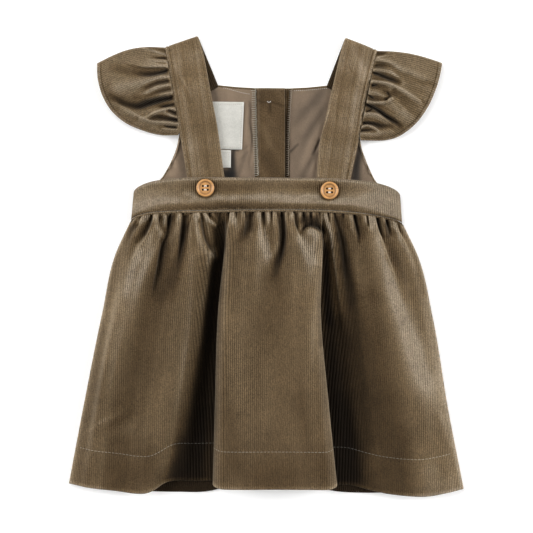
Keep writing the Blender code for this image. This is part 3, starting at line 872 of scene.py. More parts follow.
@dataclass(frozen=True)
class Paper(Finish):
    """The matt pale floor."""

    def dress(self, graph: Graph, shader: bpy.types.Node) -> None:
        """Let its tone drift a little.

        Args:
            graph: The material's nodes.
            shader: Its surface.
        """
        drift = graph.span(graph.noise(self.place(graph), 3.0, 1.0), 0.3, 0.7, 0.985, 1.0)
        self.paint(graph, shader, drift)
        preset(shader, {"Specular IOR Level": 0.1, "Emission Color": WHITE, "Emission Strength": 0.16})


CORDUROY = Corduroy("corduroy_brown", (0.122, 0.0835, 0.0445), 0.9)
# the flutters' and the straps' corduroy is drawn a little lighter, partly painted light and partly the lie of
# the pile
CORDUROY_LOOSE = Corduroy("corduroy_flutter", (0.130, 0.089, 0.047), 0.9, groove=0.66, matted=0.9)
CORDUROY_FINE = Corduroy("corduroy_strap", (0.129, 0.088, 0.047), 0.9, groove=0.74)
LINING = Cotton("lining_cotton", (0.178, 0.127, 0.084), 0.75)
LABEL = Cotton("label_woven", (0.500, 0.490, 0.450), 0.7, thread=0.7, sheen=0.2)
WOOD = Wood("wood_tan", (0.430, 0.215, 0.070), 0.45)
THREAD_BROWN = Thread("thread_brown", (0.227, 0.181, 0.130), 0.8)
THREAD_PALE = Thread("thread_pale", (0.319, 0.290, 0.227), 0.8)
THREAD_HEM = Thread("thread_hem", (0.275, 0.232, 0.168), 0.8)
THREAD_WHITE = Thread("thread_white", (0.600, 0.575, 0.530), 0.7)
FLOOR = Paper("floor_pale", (0.930, 0.930, 0.930), 0.9)


# ---------------------------------------------------------------- stitches


@dataclass(frozen=True)
class Stitch:
    """A kind of stitch, sewn as a row of small round-ended beads.

    Attributes:
        finish: Of its thread.
        length: Of one stitch, in mm.
        gap: Between two stitches, in mm.
        radius: Of the thread, in mm.
    """

    finish: Thread
    length: float
    gap: float
    radius: float

    def sew(self, name: str, *lines: np.ndarray) -> bpy.types.Object:
        """Sew along lines.

        Args:
            name: The piece's name.
            lines: The seams, each a dense row of points in mm, with the painted shade of each if not all
                alike.

        Returns:
            One piece with all the stitches.
        """
        sewn = bmesh.new()
        light = sewn.verts.layers.float.new(SHADE)
        for line in lines:
            distance = arc(line[:, None, :3], 0)[:, 0]
            shades = line[:, 3] if line.shape[1] > 3 else np.ones(len(line))
            starts = np.arange(self.gap, distance[-1] - self.length, self.length + self.gap)
            first, last = (
                np.stack([np.interp(place, distance, line[:, axis]) for axis in range(3)], -1)
                for place in (starts, starts + self.length)
            )
            middles = np.interp(starts + self.length / 2, distance, shades)
            for start, end, lit in zip(first, last, middles):
                for vertex in self.bead(sewn, start, end):
                    vertex[light] = float(lit)
        return add_piece(name, finished(sewn, name), self.finish)

    def bead(self, sewn: bmesh.types.BMesh, first: np.ndarray, last: np.ndarray) -> list[bmesh.types.BMVert]:
        """Add one stitch.

        Args:
            sewn: The form that it is added to.
            first: Where the stitch comes up, in mm.
            last: Where it goes down.

        Returns:
            Its vertices.
        """
        heading = Vector(last - first)
        turn = heading.to_track_quat("X", "Z").to_matrix().to_4x4()
        size = Matrix.Diagonal((heading.length / 2 * MM, self.radius * MM, self.radius * MM, 1.0))
        place = Matrix.Translation(Vector((first + last) / 2 * MM)) @ turn @ size
        return bmesh.ops.create_uvsphere(sewn, u_segments=6, v_segments=4, radius=1.0, matrix=place)["verts"]


HEM_STITCH = Stitch(THREAD_HEM, 2.8, 0.3, 0.3)
# beads of lighter thread: a painted highlight on the wale ends along the band's folded top
WALE_END = Stitch(THREAD_BROWN, 0.9, 0.8, 0.34)
UNDERSTITCH = Stitch(THREAD_WHITE, 0.75, 0.95, 0.24)
KNOT = Stitch(THREAD_WHITE, 2.2, 0.1, 0.3)
LABEL_STITCH = Stitch(THREAD_BROWN, 0.9, 0.9, 0.17)
FLUTTER_STITCH = Stitch(THREAD_BROWN, 1.8, 0.8, 0.18)


# ---------------------------------------------------------------- the skirt

BAND_TOP = [  # x, y
    (-112.9, 61.5), (-112.3, 63.6), (-109.4, 66.5), (-103.1, 69.7), (-96.6, 71.7), (-77.6, 74.2),
    (-52.1, 74.9), (0.0, 74.8), (54.2, 74.0), (79.7, 72.3), (93.3, 70.3), (104.1, 67.2),
    (110.6, 63.8), (113.4, 60.8), (114.0, 58.3),
]
BAND_FOOT = [  # x, y
    (-115.0, 37.3), (-113.9, 39.2), (-110.4, 41.3), (-104.3, 43.2), (-97.1, 44.4), (-77.6, 45.6),
    (-52.1, 46.0), (0.0, 46.8), (54.2, 46.0), (79.7, 43.9), (93.7, 41.7), (105.2, 39.4),
    (111.6, 37.5), (114.6, 36.1), (115.6, 35.2),
]
BAND_FACE = [  # x, z
    (-116.0, 2.6), (-113.5, 4.0), (-109.0, 5.3), (-98.0, 6.6), (-80.0, 7.7), (-68.0, 8.9),
    (-52.0, 9.1), (-36.0, 8.9), (-22.0, 8.2), (0.0, 8.2), (28.0, 8.1), (44.0, 8.3), (58.0, 8.5),
    (72.0, 8.1), (84.0, 7.4), (98.0, 6.5), (109.0, 5.3), (113.8, 4.0), (116.5, 2.6),
]
BUTTONS = {"button_left": (-51.7, 65.9), "button_right": (53.7, 63.7)}  # x, y
GAP = 0.3  # between the band's foot and the skirt
STATIONS = (0.0, 0.12, 0.35, 0.70, 1.0)  # shares of the way from the waist to the hem
SKIRT_FOLDS = [  # x at each station, z at each station and the hem's y, from the left side seam to the right
    ((-115, -127.2, -138.8, -154.4, -167), (2.9, 2.9, 2.9, 3.0, 3.0), -185.6),
    ((-109, -119.2, -131.4, -147, -158.3), (5.0, 7.5, 9.0, 9.5, 8.5), -187.3),
    ((-92, -105.6, -123.5, -140.5, -148.1), (6.4, 13, 15.5, 15.5, 13), -189.0),
    ((-82, -88, -101.4, -121.8, -130.3), (7.0, 8.5, 9.5, 9.5, 8), -191.2),
    ((-68.2, -71.6, -76, -91, -101.5), (7.7, 11.5, 14, 14, 11), -193.4),
    ((-50.5, -49, -53, -67, -82.5), (7.7, 9.5, 10.5, 9.5, 7), -183.6),
    ((-41, -41.5, -44.5, -53, -61), (7.4, 5.0, 3.3, 3.3, 3.3), -183.2),
    ((-35.8, -35, -36, -38.8, -40.6), (7.4, 5.2, 4.4, 4.4, 4.4), -183.2),
    ((-33.4, -35.2, -40.6, -43.6, -45.4), (7.5, 10, 13, 13.5, 13), -186),
    ((-29.5, -30.4, -35, -38, -39.8), (7.6, 15.5, 21, 22.5, 21.5), -189),
    ((-19.8, -19.8, -22.3, -24, -24), (7.6, 17.5, 24.5, 26.5, 26), -189.5),
    ((-2.8, -0.2, 2.3, 3.2, 4.9), (7.6, 14.5, 20.5, 23, 23.5), -189.5),
    ((21, 25.3, 29.5, 32.4, 33.8), (7.6, 17, 24.5, 26.5, 26), -189.5),
    ((41.4, 41.6, 40.8, 47, 54.4), (7.6, 15.5, 21, 22.5, 21.5), -189.5),
    ((46.6, 47.8, 46.2, 52.9, 60.1), (7.5, 10, 13, 13.5, 13), -187),
    ((49.4, 44.2, 42, 48, 54.4), (7.4, 5.2, 4.4, 4.4, 4.4), -186.6),
    ((54.5, 52.6, 53.4, 61.6, 70.5), (7.2, 5.0, 3.3, 3.3, 3.3), -186.6),
    ((66.9, 66.1, 67.8, 78, 89), (7.2, 6.8, 5.5, 5.2, 5.0), -191.2),
    ((81.4, 83.1, 86, 95, 105.5), (7.0, 8.5, 10, 9.5, 8.5), -194.4),
    ((95, 99, 109.4, 127, 134.5), (6.4, 13, 16.5, 16.5, 14), -196.1),
    ((108.6, 118.2, 131.6, 145.3, 156), (5.0, 7.5, 9.5, 9.5, 8.5), -192.8),
    ((115.6, 128.2, 140.7, 153.9, 167), (2.9, 2.9, 2.9, 3.0, 3.0), -190.3),
]
WALE_PANELS = ((0, 2, 6), (9, 11, 14), (17, 19, 22))  # folds: first, where wales hang plumb, past the last
BACK_HEM = [  # x, y
    (-168.1, -185), (-150, -188.5), (-110, -191.5), (-75, -192.4), (-50, -192), (-38, -189.5), (0, -187.5),
    (42, -188.5), (58, -191.8), (78, -193.2), (92, -193.2), (110, -192.6), (168.1, -189),
]

WAIST_CREASES = creases(  # the gathers, from the left side seam to the right one
    ((1.2, 2, 0), (1.4, 1.6), (-111.5, 40, -113.5, 33.5)),
    ((1.4, 2.2, 1.2, 0), (2.4, 2.6), (-105, 41, -109, 30.5, -113.5, 21, -117.5, 8)),
    ((-1.6, -2.2, -1.2, 0), (2, 3.4), (-97, 41.5, -103, 28.5, -110.5, 18, -116, 3)),
    ((2.2, 2.4, 1.2, 0), (4, 5), (-94.5, 41.5, -102, 22.5, -110, 11, -117.5, -8), Side.LEFT),
    ((2.4, 3, 2.2), (2.6, 3), (-93.5, 42.5, -91.5, 33, -87.5, 26.5), Side.RIGHT),
    ((2.6, 2.6, 2.2), 2.4, (-85.5, 41.5, -85, 33.5, -85, 26), Side.RIGHT),
    ((2, 3.4, 3, 1.6, 0), (4, 9), (-86, 26, -90.5, 15, -93, 1.5, -96.5, -16.5, -99.5, -33.5), Side.RIGHT),
    ((-2.6, -3.4, -2.8, -2, -1.2, 0), (1.8, 6),
     (-82.5, 41.5, -84.5, 32, -88, 22, -91.5, 9, -94.5, -8, -97, -29)),
    ((2.4, 3.2, 2.4, 1, 0), (3.6, 7), (-72.5, 42, -73.5, 33, -74.5, 21, -76, 6.5, -78.5, -12), Side.RIGHT),
    ((-2.4, -2.8, -2, 0), (2, 4.5), (-69.5, 41.5, -71, 28.5, -74.5, 13.5, -79.5, -8)),
    ((1.6, 1.6, 0), (3, 4.5), (-64.5, 42, -65, 23.5, -68, 8), Side.LEFT),
    ((2.6, 3.6, 3.6, 2.8, 1.4), (4.2, 6.5), (-56.5, 43.5, -56, 34.5, -53, 21, -47, 10, -42.5, 5), Side.RIGHT),
    ((-0.4, -0.6, -0.4), (1.8, 3.4), (-54, 39, -50.5, 25, -45.5, 16)),
    ((2.2, 2.6, 2.2), (2, 2.2), (-52, 43.5, -49, 39, -43.5, 34.5), Side.RIGHT),
    ((1.4, 0.8), (1.4, 1.5), (-45.5, 43.5, -42, 39)),
    ((1.6, 2.4, 0), (2.8, 4), (-30.5, 44, -30.5, 35.5, -33.5, 22), Side.LEFT),
    ((1.6, 2.2, 0), (2.6, 4), (-19, 44, -18.5, 37, -20.5, 23.5), Side.RIGHT),
    ((-2.4, -2.4, -1.2, 0), (1.8, 4.5), (-13.5, 44.5, -14, 35.5, -17, 23.5, -21.5, 11.5)),
    ((2, 2.6, 2.4, 1.4, 0), (3, 7), (-6, 44, -5.5, 35.5, -3, 20, 0.5, 8, 4, -2), Side.RIGHT),
    ((-1.8, -1.4, 0), (1.4, 1.5), (-2.5, 44.5, -2, 39.5, -1.5, 33.5)),
    ((1.6, 1.6, 0), (2, 2.4), (1, 44, 1.5, 37, 0, 27.5)),
    ((1.8, 2.6, 2.4, 1.2, 0), (3, 5), (7.5, 44, 9, 36, 10, 23.5, 8, 11.5, 4, 1.5), Side.RIGHT),
    ((-3, -4, -3.4, -1.6, 0), (1.8, 5), (14, 43.5, 15, 28.5, 13.5, 16, 10, 3, 5, -10.5)),
    ((1.6, 2.2, 1.4, 0), (2.2, 3.4), (16.5, 44, 16.5, 30.5, 15, 16.5, 12.5, 3), Side.LEFT),
    ((2.4, 3.4, 3.4, 2.4, 0), (3.6, 6), (23, 43.5, 24, 33, 28, 22.5, 34, 10, 40.5, -1), Side.RIGHT),
    ((1.8, 1.2), 1.8, (28.5, 43, 28.5, 31)),
    ((1.6, 1), (1.5, 1.6), (35, 43, 35.5, 34.5)),
    ((1.4, 0.8), (1.5, 1.6), (40, 43, 40.5, 36)),
    ((1.4, 2, 2, 2, 1.6, 0.8, 0), (4, 6),
     (50, 40.5, 53.5, 30.5, 56, 16.5, 58.5, 1.5, 61, -16.5, 63.5, -37.5, 65, -63), Side.LEFT),
    ((0.8, 1.6, 1.6, 1.2, 0), (2.6, 3.6), (56.5, 43, 61.5, 25, 64, 10, 66, -8, 68, -29), Side.RIGHT),
    ((-1.8, -2.8, -3, -1.8, 0), (2.6, 5.4), (60, 38, 64, 23, 66.5, 8, 69.5, -10.5, 72.5, -29)),
    ((2, 2.4, 1.2), (2.6, 3), (72.5, 42, 75.5, 29.5, 77.5, 22.5), Side.RIGHT),
    ((-2.2, -2.2, 0), (1.3, 1.6), (75, 41.5, 77.5, 31, 79.5, 19)),
    ((1.2, 1.4, 0), (2, 2.4), (82.5, 43, 84, 38, 85, 31)),
    ((2.6, 3.4, 3, 2, 0), (5, 8), (91.5, 41.5, 95.5, 27, 99, 16, 105.5, -2, 112, -19), Side.RIGHT),
    ((-2.2, -2.2, 0), (1.3, 1.8), (94, 39.5, 97, 28.5, 101, 18.5)),
    ((2, 1.2), (1.9, 2), (99, 40, 101, 27.5)),
    ((-2.2, -1.6, 0), (1.2, 1.6), (103, 39, 104.5, 30.5, 106, 22)),
    ((2, 2.6, 1.4, 0), (2.6, 4), (109.5, 37.5, 112.5, 27, 117, 19, 122, 8), Side.RIGHT),
    ((-1.6, -1.2, 0), (1.2, 1.4), (112, 37, 114.5, 28.5, 118, 22.5)),
    ((1.6, 0.8), (1.4, 1.6), (114, 35.5, 117, 27.5)),
)
SKIRT_CREASES = creases(  # the pucker under the band, the roll below it and the panels' small creases
    ((-1, -3.2, -3.2, -2), 1.5, (29, 28, 33.5, 34, 39.5, 35, 45.5, 33, 49.5, 28)),
    ((0, 2.4, 2, 0), (3.2, 5.2), (33, 27, 39.5, 29, 44, 22, 44, 8)),
    ((0, 0.5, 0.5, 0), (1.3, 1.6), (-159.2, -145.7, -143, -133.8, -127.7, -127.8, -104.8, -107.4)),
    ((0, -0.7, -0.6, 0), (4, 4.5), (-154.9, -150.8, -137.9, -139.7, -122.6, -132.1, -109, -121)),
    ((0, 0.5, 0), 1.2, (-76.7, -124.4, -69.9, -127)),
)

SKIRT_PAINTED_LIGHT = creases(  # painted highlights and shadows along the folds, and where the pile lies lighter or darker: 1 is twice as light, -1 half as light
    ((0.7, 0.5, 0), (2.1, 2.5), (-103, 40.5, -106.5, 32, -112.5, 22)),
    ((-0.9, -0.7, -0.3), 3.4, (-111.5, 34.5, -115, 23.5, -119, 11.5)),
    ((0.9, 0.9, 0.3), (2.5, 3.4), (-93, 42, -91, 33.5, -93, 22)),
    (1.1, 2.1, (-87, 41.5, -85, 28.5)),
    ((0.9, 0.8, 0.4, 0), (3.4, 7.6), (-90.5, 23.5, -99, 3, -109, -20.5, -117.5, -71.5)),
    ((0, 0.4, 0.3, 0), (5.1, 8.5), (-107.5, 13.5, -124.5, -29, -134.5, -63)),
    ((0, -0.8, -0.6, 0), (3.4, 6.8), (-87, 22, -92, 3, -95.5, -16.5, -99, -33.5)),
    ((0.5, 0.5, 0), 2.5, (-73.5, 42, -76, 28.5, -78.5, 13.5)),
    ((0, -1, -0.8, 0), (3.4, 5.1), (-71.5, 23.5, -76, 5, -83.5, -17.5, -89.5, -34.5)),
    ((0.9, 0.9, 0.9, 1), (3.4, 2.5), (-59, 42, -56.5, 27.5, -50.5, 14, -43.5, 7.5)),
    ((1, 1.2, 1.2), (1.7, 2.1), (-52, 43, -48, 38, -43.5, 35.5)),
    ((0, 0.6, 0.5, 0), (3.4, 5.1), (-48, 9, -53, -29, -57, -67.5, -66.5, -110)),
    ((0, -0.4, -0.5, -0.5), 3.4, (-35, 28.5, -39.5, -16.5, -42, -80, -42.5, -182)),
    ((0, -1.4, -1.5, -1.4, -1.2), (2.5, 3), (-38.5, -12, -40.5, -37.5, -43.5, -114, -45, -148, -47, -187.5)),
    ((0, -0.3, -0.3), (6.8, 7.6), (-31, -20.5, -36, -97, -38.5, -182)),
    ((0.9, 0.6, 0), 3.4, (-25.5, 41.5, -25.5, 33.5, -28.5, 22)),
    ((0, -0.9, 0), (2.5, 3.4), (-17, 39, -20, 28.5, -22.5, 17.5)),
    ((0.4, 0.8, 0.8, 0), (3.4, 5.1), (-8, 41.5, -3.5, 23.5, 0.5, 9, 3, -8)),
    ((0.8, 1, 0.6, 0), (3.4, 5.1), (1.5, 41.5, 2.5, 26, 1.5, 11.5, -2, -8)),
    ((0.6, 0.8, 0.6), (2.5, 3.4), (22.5, 41.5, 28.5, 22, 39, 5)),
    ((1, 0.8, 0.3), (5.1, 6), (39, 28.5, 39.5, 17.5, 40.5, 3)),
    ((0, 0.4, 0.4, 0), (6.8, 8.5), (1.5, -54.5, 1.5, -97, 0.5, -139.5, 0, -156.5)),
    ((0, 0.5, 0.4, 0), (2.5, 3.4), (39.5, -29, 39.5, -63, 40.5, -97, 41.5, -114)),
    ((0, -0.5, -0.5, -0.4), (6.8, 8.5), (44, -46, 46.5, -114, 51, -182)),
    ((0, -0.45, -0.5, -0.45), (17, 18.7), (-43.5, -167, 3, -182, 58.5, -168.5)),
    ((0.4, 0.8, 0.9, 0.6, 0), 2.5, (51.5, 41.5, 55, 22, 57.5, 3, 59.5, -20.5, 62, -54.5)),
    ((0, -0.7, -0.5), (3.4, 5.1), (64, 37, 68.5, 9, 73, -29)),
    ((0.6, 0.5, 0), 2.5, (71, 41.5, 73.5, 28.5, 73, 13.5)),
    ((0, -0.9, -1.1, -0.9, -0.9, -0.9), (4.2, 18.7),
     (69.5, 13.5, 73.5, -20.5, 81.5, -63, 88, -114, 96.5, -148, 103.5, -189)),
    ((0.9, 0.7, 0.5), (4.2, 2.5), (87.5, 41.5, 93.5, 28.5, 100, 11.5)),
    ((0.4, 1, 1, 0.9, 0.7, 0), (3.4, 9.3),
     (95, 22, 103.5, -3.5, 113, -37.5, 124, -71.5, 134, -101.5, 141, -122.5)),
    ((0, -0.8, 0), (3.4, 5.1), (102, 28.5, 108.5, 13.5, 115.5, -8)),
    (0.6, 2.5, (107, 37, 113, 23.5)),
    (0.5, 2.5, (135, -29, 147.5, -97, 160.5, -156.5, 168, -189)),
    ((0, 0.6, 0), (4.2, 5.1), (-115, -127, -116.5, -138, -122.5, -146.5)),
    ((0, 0.6, 0.7, 0.4, 0), 1.1, (-158.5, -145.5, -143, -134, -134.5, -129.5, -126, -125.5, -117.5, -118.5)),
    ((0, -0.3, -0.3, 0), 3, (-151.5, -149, -137, -138, -122.5, -129.5, -111.5, -121)),
    ((0, -0.5, -0.6, -0.6), (5.1, 8.5), (-141.5, -63, -150, -114, -155, -148, -158.5, -182)),
    (-0.3, 13.6, (-150, -175.5, -116, -180.5, -73.5, -184)),
    ((0, -0.6, -0.6), 8.5, (112, -131, 115.5, -161, 118, -189)),
    ((0, 0.5, 0), (4.2, 6.8), (89, -155, 89, -173.5, 89, -187.5)),
    ((0, 0.4, 0), 8.5, (139, -161, 139, -173.5, 141, -185.5)),
    ((1.6, 1.8, 1.6, 0.6), (2.5, 3.4), (-51, 39, -48.5, 27.5, -44.5, 16.5, -42.5, 8)),
    ((0.4, 1, 1, 0.8, 0), (2.5, 3.4), (-48, 6.5, -51, -16.5, -54, -46, -56.5, -88.5, -59.5, -122.5)),
    ((-1.2, -1.2, -1, -0.6), 2.5, (-36, 37, -37, 17.5, -38, -3.5, -39.5, -29)),
    ((-0.5, -0.5, -0.4, 0), 7.6, (-27.5, 32, -28.5, 9, -27.5, -16.5, -24, -46)),
    ((-1, -1, -0.6), 2.5, (-16.5, 42, -19, 32, -22.5, 21)),
    ((0.8, 0.8, 0), 2.5, (-27.5, 44.5, -27.5, 39, -29, 32)),
    ((1, 1, 0.4), (2, 2.2), (-4.5, 44, -2, 32, 0.5, 15)),
    ((1.2, 0.6), 2.1, (3, 43, 4, 36)),
    ((0.8, 1, 0.6), (1.7, 2), (10, 33.5, 11, 22, 8.5, 11.5)),
    ((-0.8, -1.8, -1.6, -0.8), (1.7, 2.9), (16, 28.5, 14.5, 15, 11, 2, 5.5, -10.5)),
    ((0.6, 0.9, 0.6), 3.4, (29.5, 27.5, 34.5, 31.5, 41.5, 28.5)),
    ((-1.4, -1.4, -1.4, -1), 2.9, (28.5, 38, 36.5, 40.5, 44, 38, 49, 32)),
    ((-0.8, -0.6), 2.1, (23.5, 35.5, 26, 27)),
    ((0.8, 0.9, 0.8), 2, (56.5, 27, 60, 15, 62.5, 3)),
    ((-0.8, -0.8, -0.4), (2, 2.5), (60, 27, 63.5, 11, 67, -8)),
    ((0.6, 0.6, 0), (2, 2.5), (68, 15, 71, -2, 73, -19)),
    (-0.4, 7.6, (79.5, 23.5, 85, 3, 90, -22.5)),
    ((0.8, 1, 0.6), 2, (85, 44, 86.5, 38, 89, 32)),
    ((1.2, 1.2, 0.6), 2, (96, 38, 98.5, 29.5, 101, 22)),
    (-1.4, 1.7, (101, 35.5, 103.5, 25)),
    ((1, 0.8), 2.1, (104.5, 39.5, 107.5, 32)),
    ((-0.5, -0.8, -0.5), (4.2, 6), (101, 19, 107.5, 6.5, 115.5, -9)),
    ((0.3, 0.5, 0.4, 0), (5.1, 6.8), (93.5, 18.5, 100, -3.5, 107, -26, 113, -44.5)),
    ((-0.4, -0.5, -0.5, -0.3), (9.3, 11.9), (91.5, -29, 102, -71.5, 108.5, -114, 113.5, -156.5)),
    ((0, 0.4, 0.4, 0), (10.2, 11.9), (117, -50.5, 130.5, -76, 142.5, -101.5, 149.5, -124.5)),
    ((-0.8, -0.8, -0.5), (2, 2.5), (-98, 37, -101.5, 27, -105.5, 16.5)),
    ((-1, -1, -0.4), 2.9, (-112.5, 35.5, -116, 28.5, -118.5, 20)),
    ((0.8, 0.6), 2.5, (-99.5, 44, -104, 36)),
    (1, 2, (-89.5, 44.5, -88, 37)),
    (0.8, (2, 2.2), (-93, 32, -88.5, 25)),
    ((0.3, 0.4, 0.3), (3.4, 4.2), (-109, 18.5, -114, -2, -119, -22.5)),
    (-0.3, 3.4, (-139, -54.5, -143, -114)),
    ((0.35, 0.4, 0.3), 6, (-59.5, -29, -65, -71.5, -70, -122.5)),
    ((0.8, 0.8, 0.4), 3.4, (-43.5, 13.5, -49.5, 3, -54.5, -8)),
    ((-0.4, -0.5, -0.5, -0.3), 2.5, (-36, 22, -38.5, -3.5, -39.5, -29, -41, -54.5)),
    ((-0.3, -0.35, -0.3), (6, 7.6), (28, -29, 28.5, -80, 32, -139.5)),
    ((-0.5, -0.4, -0.2), (3.4, 6), (8.5, 3, 11, -16.5, 13.5, -37.5)),
    ((-1.6, -2, -1.8, -1.2), 2.5, (33, 33.5, 39.5, 35, 45.5, 32, 48, 25)),
    ((0.8, 0.9, 0.8, 0.5), (2.5, 3.4), (51.5, 34.5, 54, 17.5, 57.5, -3.5, 62, -37.5)),
    ((0.6, 0.6, 0.4), (2.5, 2.9), (68.5, 34.5, 72, 13.5, 75.5, -12)),
    ((-0.5, -0.6, -0.7), (6, 6.8), (65, -50.5, 70.5, -114, 73.5, -173.5)),
    ((-0.35, -0.4, -0.3), (6.8, 8.5), (90, -20.5, 95, -63, 100, -114)),
    (0.5, (5.1, 6), (91.5, -156.5, 91.5, -184)),
    (-0.3, 6.8, (-99, -161, -90.5, -182)),
    ((1.4, 1.5, 1.3, 0.8, 0), (2.5, 3.4), (50, 42, 52.5, 25, 56, 5, 59.5, -15.5, 63.5, -44.5)),
    ((-0.8, -1, -0.9, -0.4), (2.8, 4), (60.5, 27, 65, 9, 69, -12, 72, -36)),
    ((0, -0.45, -0.5, -0.5, -0.5), (6.8, 17), (73, -3.5, 78, -46, 85, -88.5, 91.5, -131, 96.5, -182)),
    (-0.3, 18.7, (-29, -173.5, 7.5, -177, 45.5, -172)),
    (-0.35, 10.2, (-29, -127, -25.5, -161)),
    ((0.4, 0.4, 0), (3.4, 5.1), (-8, 17.5, -7, -8, -7, -29)),
    ((0.5, 0.5, 0), 4.2, (34.5, 11.5, 38, -5.5, 39.5, -20.5)),
    ((-1.4, -1.6, -1.4), 3.4, (32, 36, 39, 38, 45.5, 33.5)),
    ((0.6, 0.7, 0.6), 4.2, (32, 22, 38, 27.5, 45.5, 25)),
    ((0.5, 0.8, 0.6, 0.2), (3.4, 4.2), (-42.5, 13.5, -46, 3, -49.5, -12, -52, -29)),
    ((-0.9, -1, -0.8, -0.4), (2.5, 3.4), (-70, 23.5, -71.5, 6.5, -75, -10.5, -78.5, -29)),
    ((-0.9, -0.9, -0.5), (2, 2.5), (-56.5, 39, -54, 25, -50.5, 15)),
    ((0.5, 0.6, 0.4, 0), (3.4, 5.1), (-96.5, 28.5, -100.5, 13.5, -106.5, -5.5, -111.5, -29)),
    ((1, 1, 0.6), 2.5, (-108, 37, -101.5, 40.5, -97, 43)),
    ((0.25, 0.3, 0.25), 10.2, (-126, -59, -127.5, -84.5, -126, -101.5)),
    (-0.35, (5.1, 6.8), (-126, 6.5, -138, -54.5, -150, -131)),
    (0.3, 10.2, (-122.5, -135.5, -109, -135.5)),
    ((0.3, 0.35, 0.3), (8.5, 11.9), (100, -20.5, 112, -54.5, 126.5, -97)),
    ((0.3, 0.4), 8.5, (139, -101.5, 147.5, -131)),
    (0.35, 7.6, (139, -188, 158, -185.5)),
    (0.4, 1.4, (148.5, -124.5, 157, -153.5)),
    (-0.4, 2.5, (144.5, -128, 153, -156.5)),
    ((1.2, 1.2, 0.9), 1.5, (46.5, 44, 48, 33.5, 50, 22)),
    ((-1.3, -1.4, -1.2), 1.5, (36.5, 34.5, 40.5, 32.5, 45.5, 30.5)),
    (-1.1, 1, (47.5, 24.5, 48.5, 14)),
    ((-0.7, -0.8, -0.7, -0.7), (1.5, 1.7), (45.5, -2, 45, -20.5, 44.5, -42, 46, -67.5)),
    ((0.5, 0.5, 0.4), (1.5, 1.9), (54, 44, 56.5, 32, 61, 16)),
    ((-1.3, -1.3, -0.6), 1.7, (58.5, 40.5, 60, 31, 61.5, 22)),
    ((-1.1, -1.2, -1), 2, (63.5, 41.5, 66, 34.5, 69.5, 33)),
    ((0.4, 0.5, 0.5), 3, (29.5, 23.5, 32, 13.5, 36.5, 5.5)),
    (0.4, 2.5, (36.5, 5, 43, 2)),
    (-0.5, (6.8, 7.6), (60, -48, 68, -67.5)),
    ((0.5, 0.6, 0.5, 0.2), (2.4, 3.1), (-104, 22, -109, 9, -114, -6.5, -119, -26)),
    ((-0.4, -0.5, -0.5, -0.4), (3.1, 4.7), (-71, 34.5, -73.5, 9, -80, -16.5, -91, -28.5)),
    (-0.5, (1.4, 1.5), (-88.5, 24.5, -90.5, 3)),
    ((0.5, 0.5, 0.4), (1.7, 1.9), (-84.5, 35.5, -81, 20, -80, 6.5)),
    ((1, 0.9), 1.7, (-102, 42, -99.5, 37)),
    (0.9, 1.4, (-82.5, 44.5, -82.5, 39.5)),
    (0.8, 1.4, (-70, 44.5, -70, 40.5)),
    ((-0.9, -0.8), 1.2, (-91.5, 43, -90.5, 33)),
    ((0.3, 0.35, 0.3, 0.3), (5.1, 6), (-62.5, 26, -60.5, 3, -59, -29, -60.5, -67.5)),
    (1.1, 1.9, (-44.5, 14, -42.5, 8)),
    ((-0.7, -0.7, -0.5), 1.3, (-55.5, 37, -52, 23.5, -48, 13.5)),
    ((-0.45, -0.45, -0.4), (1.9, 2), (-36, 20, -37.5, -12, -38, -63)),
    ((1, 0.9), 1.4, (97, 39, 98.5, 27)),
    ((-0.9, -0.8), 1.2, (101.5, 38, 102.5, 23.5)),
    (0.9, 1.4, (104.5, 39, 106, 33)),
    (-0.4, 3.8, (101, 21, 107.5, 19)),
    (-0.25, (6.8, 8.5), (103.5, 11.5, 113.5, -8, 123, -26)),
    ((0.6, 0.7, 0.6, 0.3), (1.9, 2.4), (110.5, 28.5, 115.5, 19, 121.5, 10, 126.5, -4.5)),
    ((0.25, 0.3, 0.25), (5.1, 6.8), (117, -33.5, 124, -50.5, 130.5, -67.5)),
    ((-0.35, -0.5, -0.5), (7.6, 10.2), (-56.5, -141.5, -63, -161, -70, -182)),
    ((-0.35, -0.4), (4.2, 5.1), (-99, -148, -102, -184)),
    ((-0.2, -0.25, -0.2), (6, 6.8), (-34, -110, -28.5, -139.5, -25.5, -173.5)),
    ((-0.2, -0.25, -0.2), (5.1, 6), (26, -93, 30.5, -122.5, 34, -156.5)),
    ((0.2, 0.25, 0.2), (6, 6.8), (-67.5, -71.5, -67.5, -93, -70, -114)),
    (0.15, 10.2, (-113.5, -29, -116.5, -101.5)),
    (0.5, 1.5, (-26.5, 41.5, -25.5, 33)),
    (0.5, 1.7, (1.5, 25, 2.5, 16.5)),
    ((-0.35, -0.55, -0.55, -0.45), (6.8, 10.2), (56.5, -50.5, 62.5, -88.5, 68.5, -139.5, 72, -178)),
    (-0.5, (7.6, 10.2), (-54, -110, -57, -139.5, -63, -175.5)),
    ((-0.3, -0.35, -0.3), 2, (-36, -63, -37, -105.5, -37.5, -148)),
    ((-0.4, -0.45, -0.45, -0.4), (1.7, 2.2), (45.5, -29, 47, -67.5, 50, -114, 54, -152.5)),
    ((-1.4, -1.5, -1.3), 2, (34, 34.5, 39.5, 33, 45.5, 30.5)),
    ((-1.4, -1.4, -0.8), 1.3, (48, 26, 49, 16.5, 49.5, 10)),
    ((0.9, 1, 0.8), 1.9, (48, 41.5, 50, 30.5, 52, 16)),
    (0.45, 2, (58.5, 30.5, 61, 16.5)),
    (-0.4, 1.9, (57, 13.5, 59.5, -5.5, 61, -19)),
    (0.9, 1.5, (77, 37, 79.5, 22)),
    ((-0.7, -0.6), 1.4, (73.5, 42, 76.5, 30.5)),
    (-0.9, 1.4, (34.5, 44.5, 35, 39.5)),
    (-1.1, 1.4, (43, 44, 43.5, 39)),
    ((-0.8, -0.9), 2.2, (5.5, -2, 12.5, 9)),
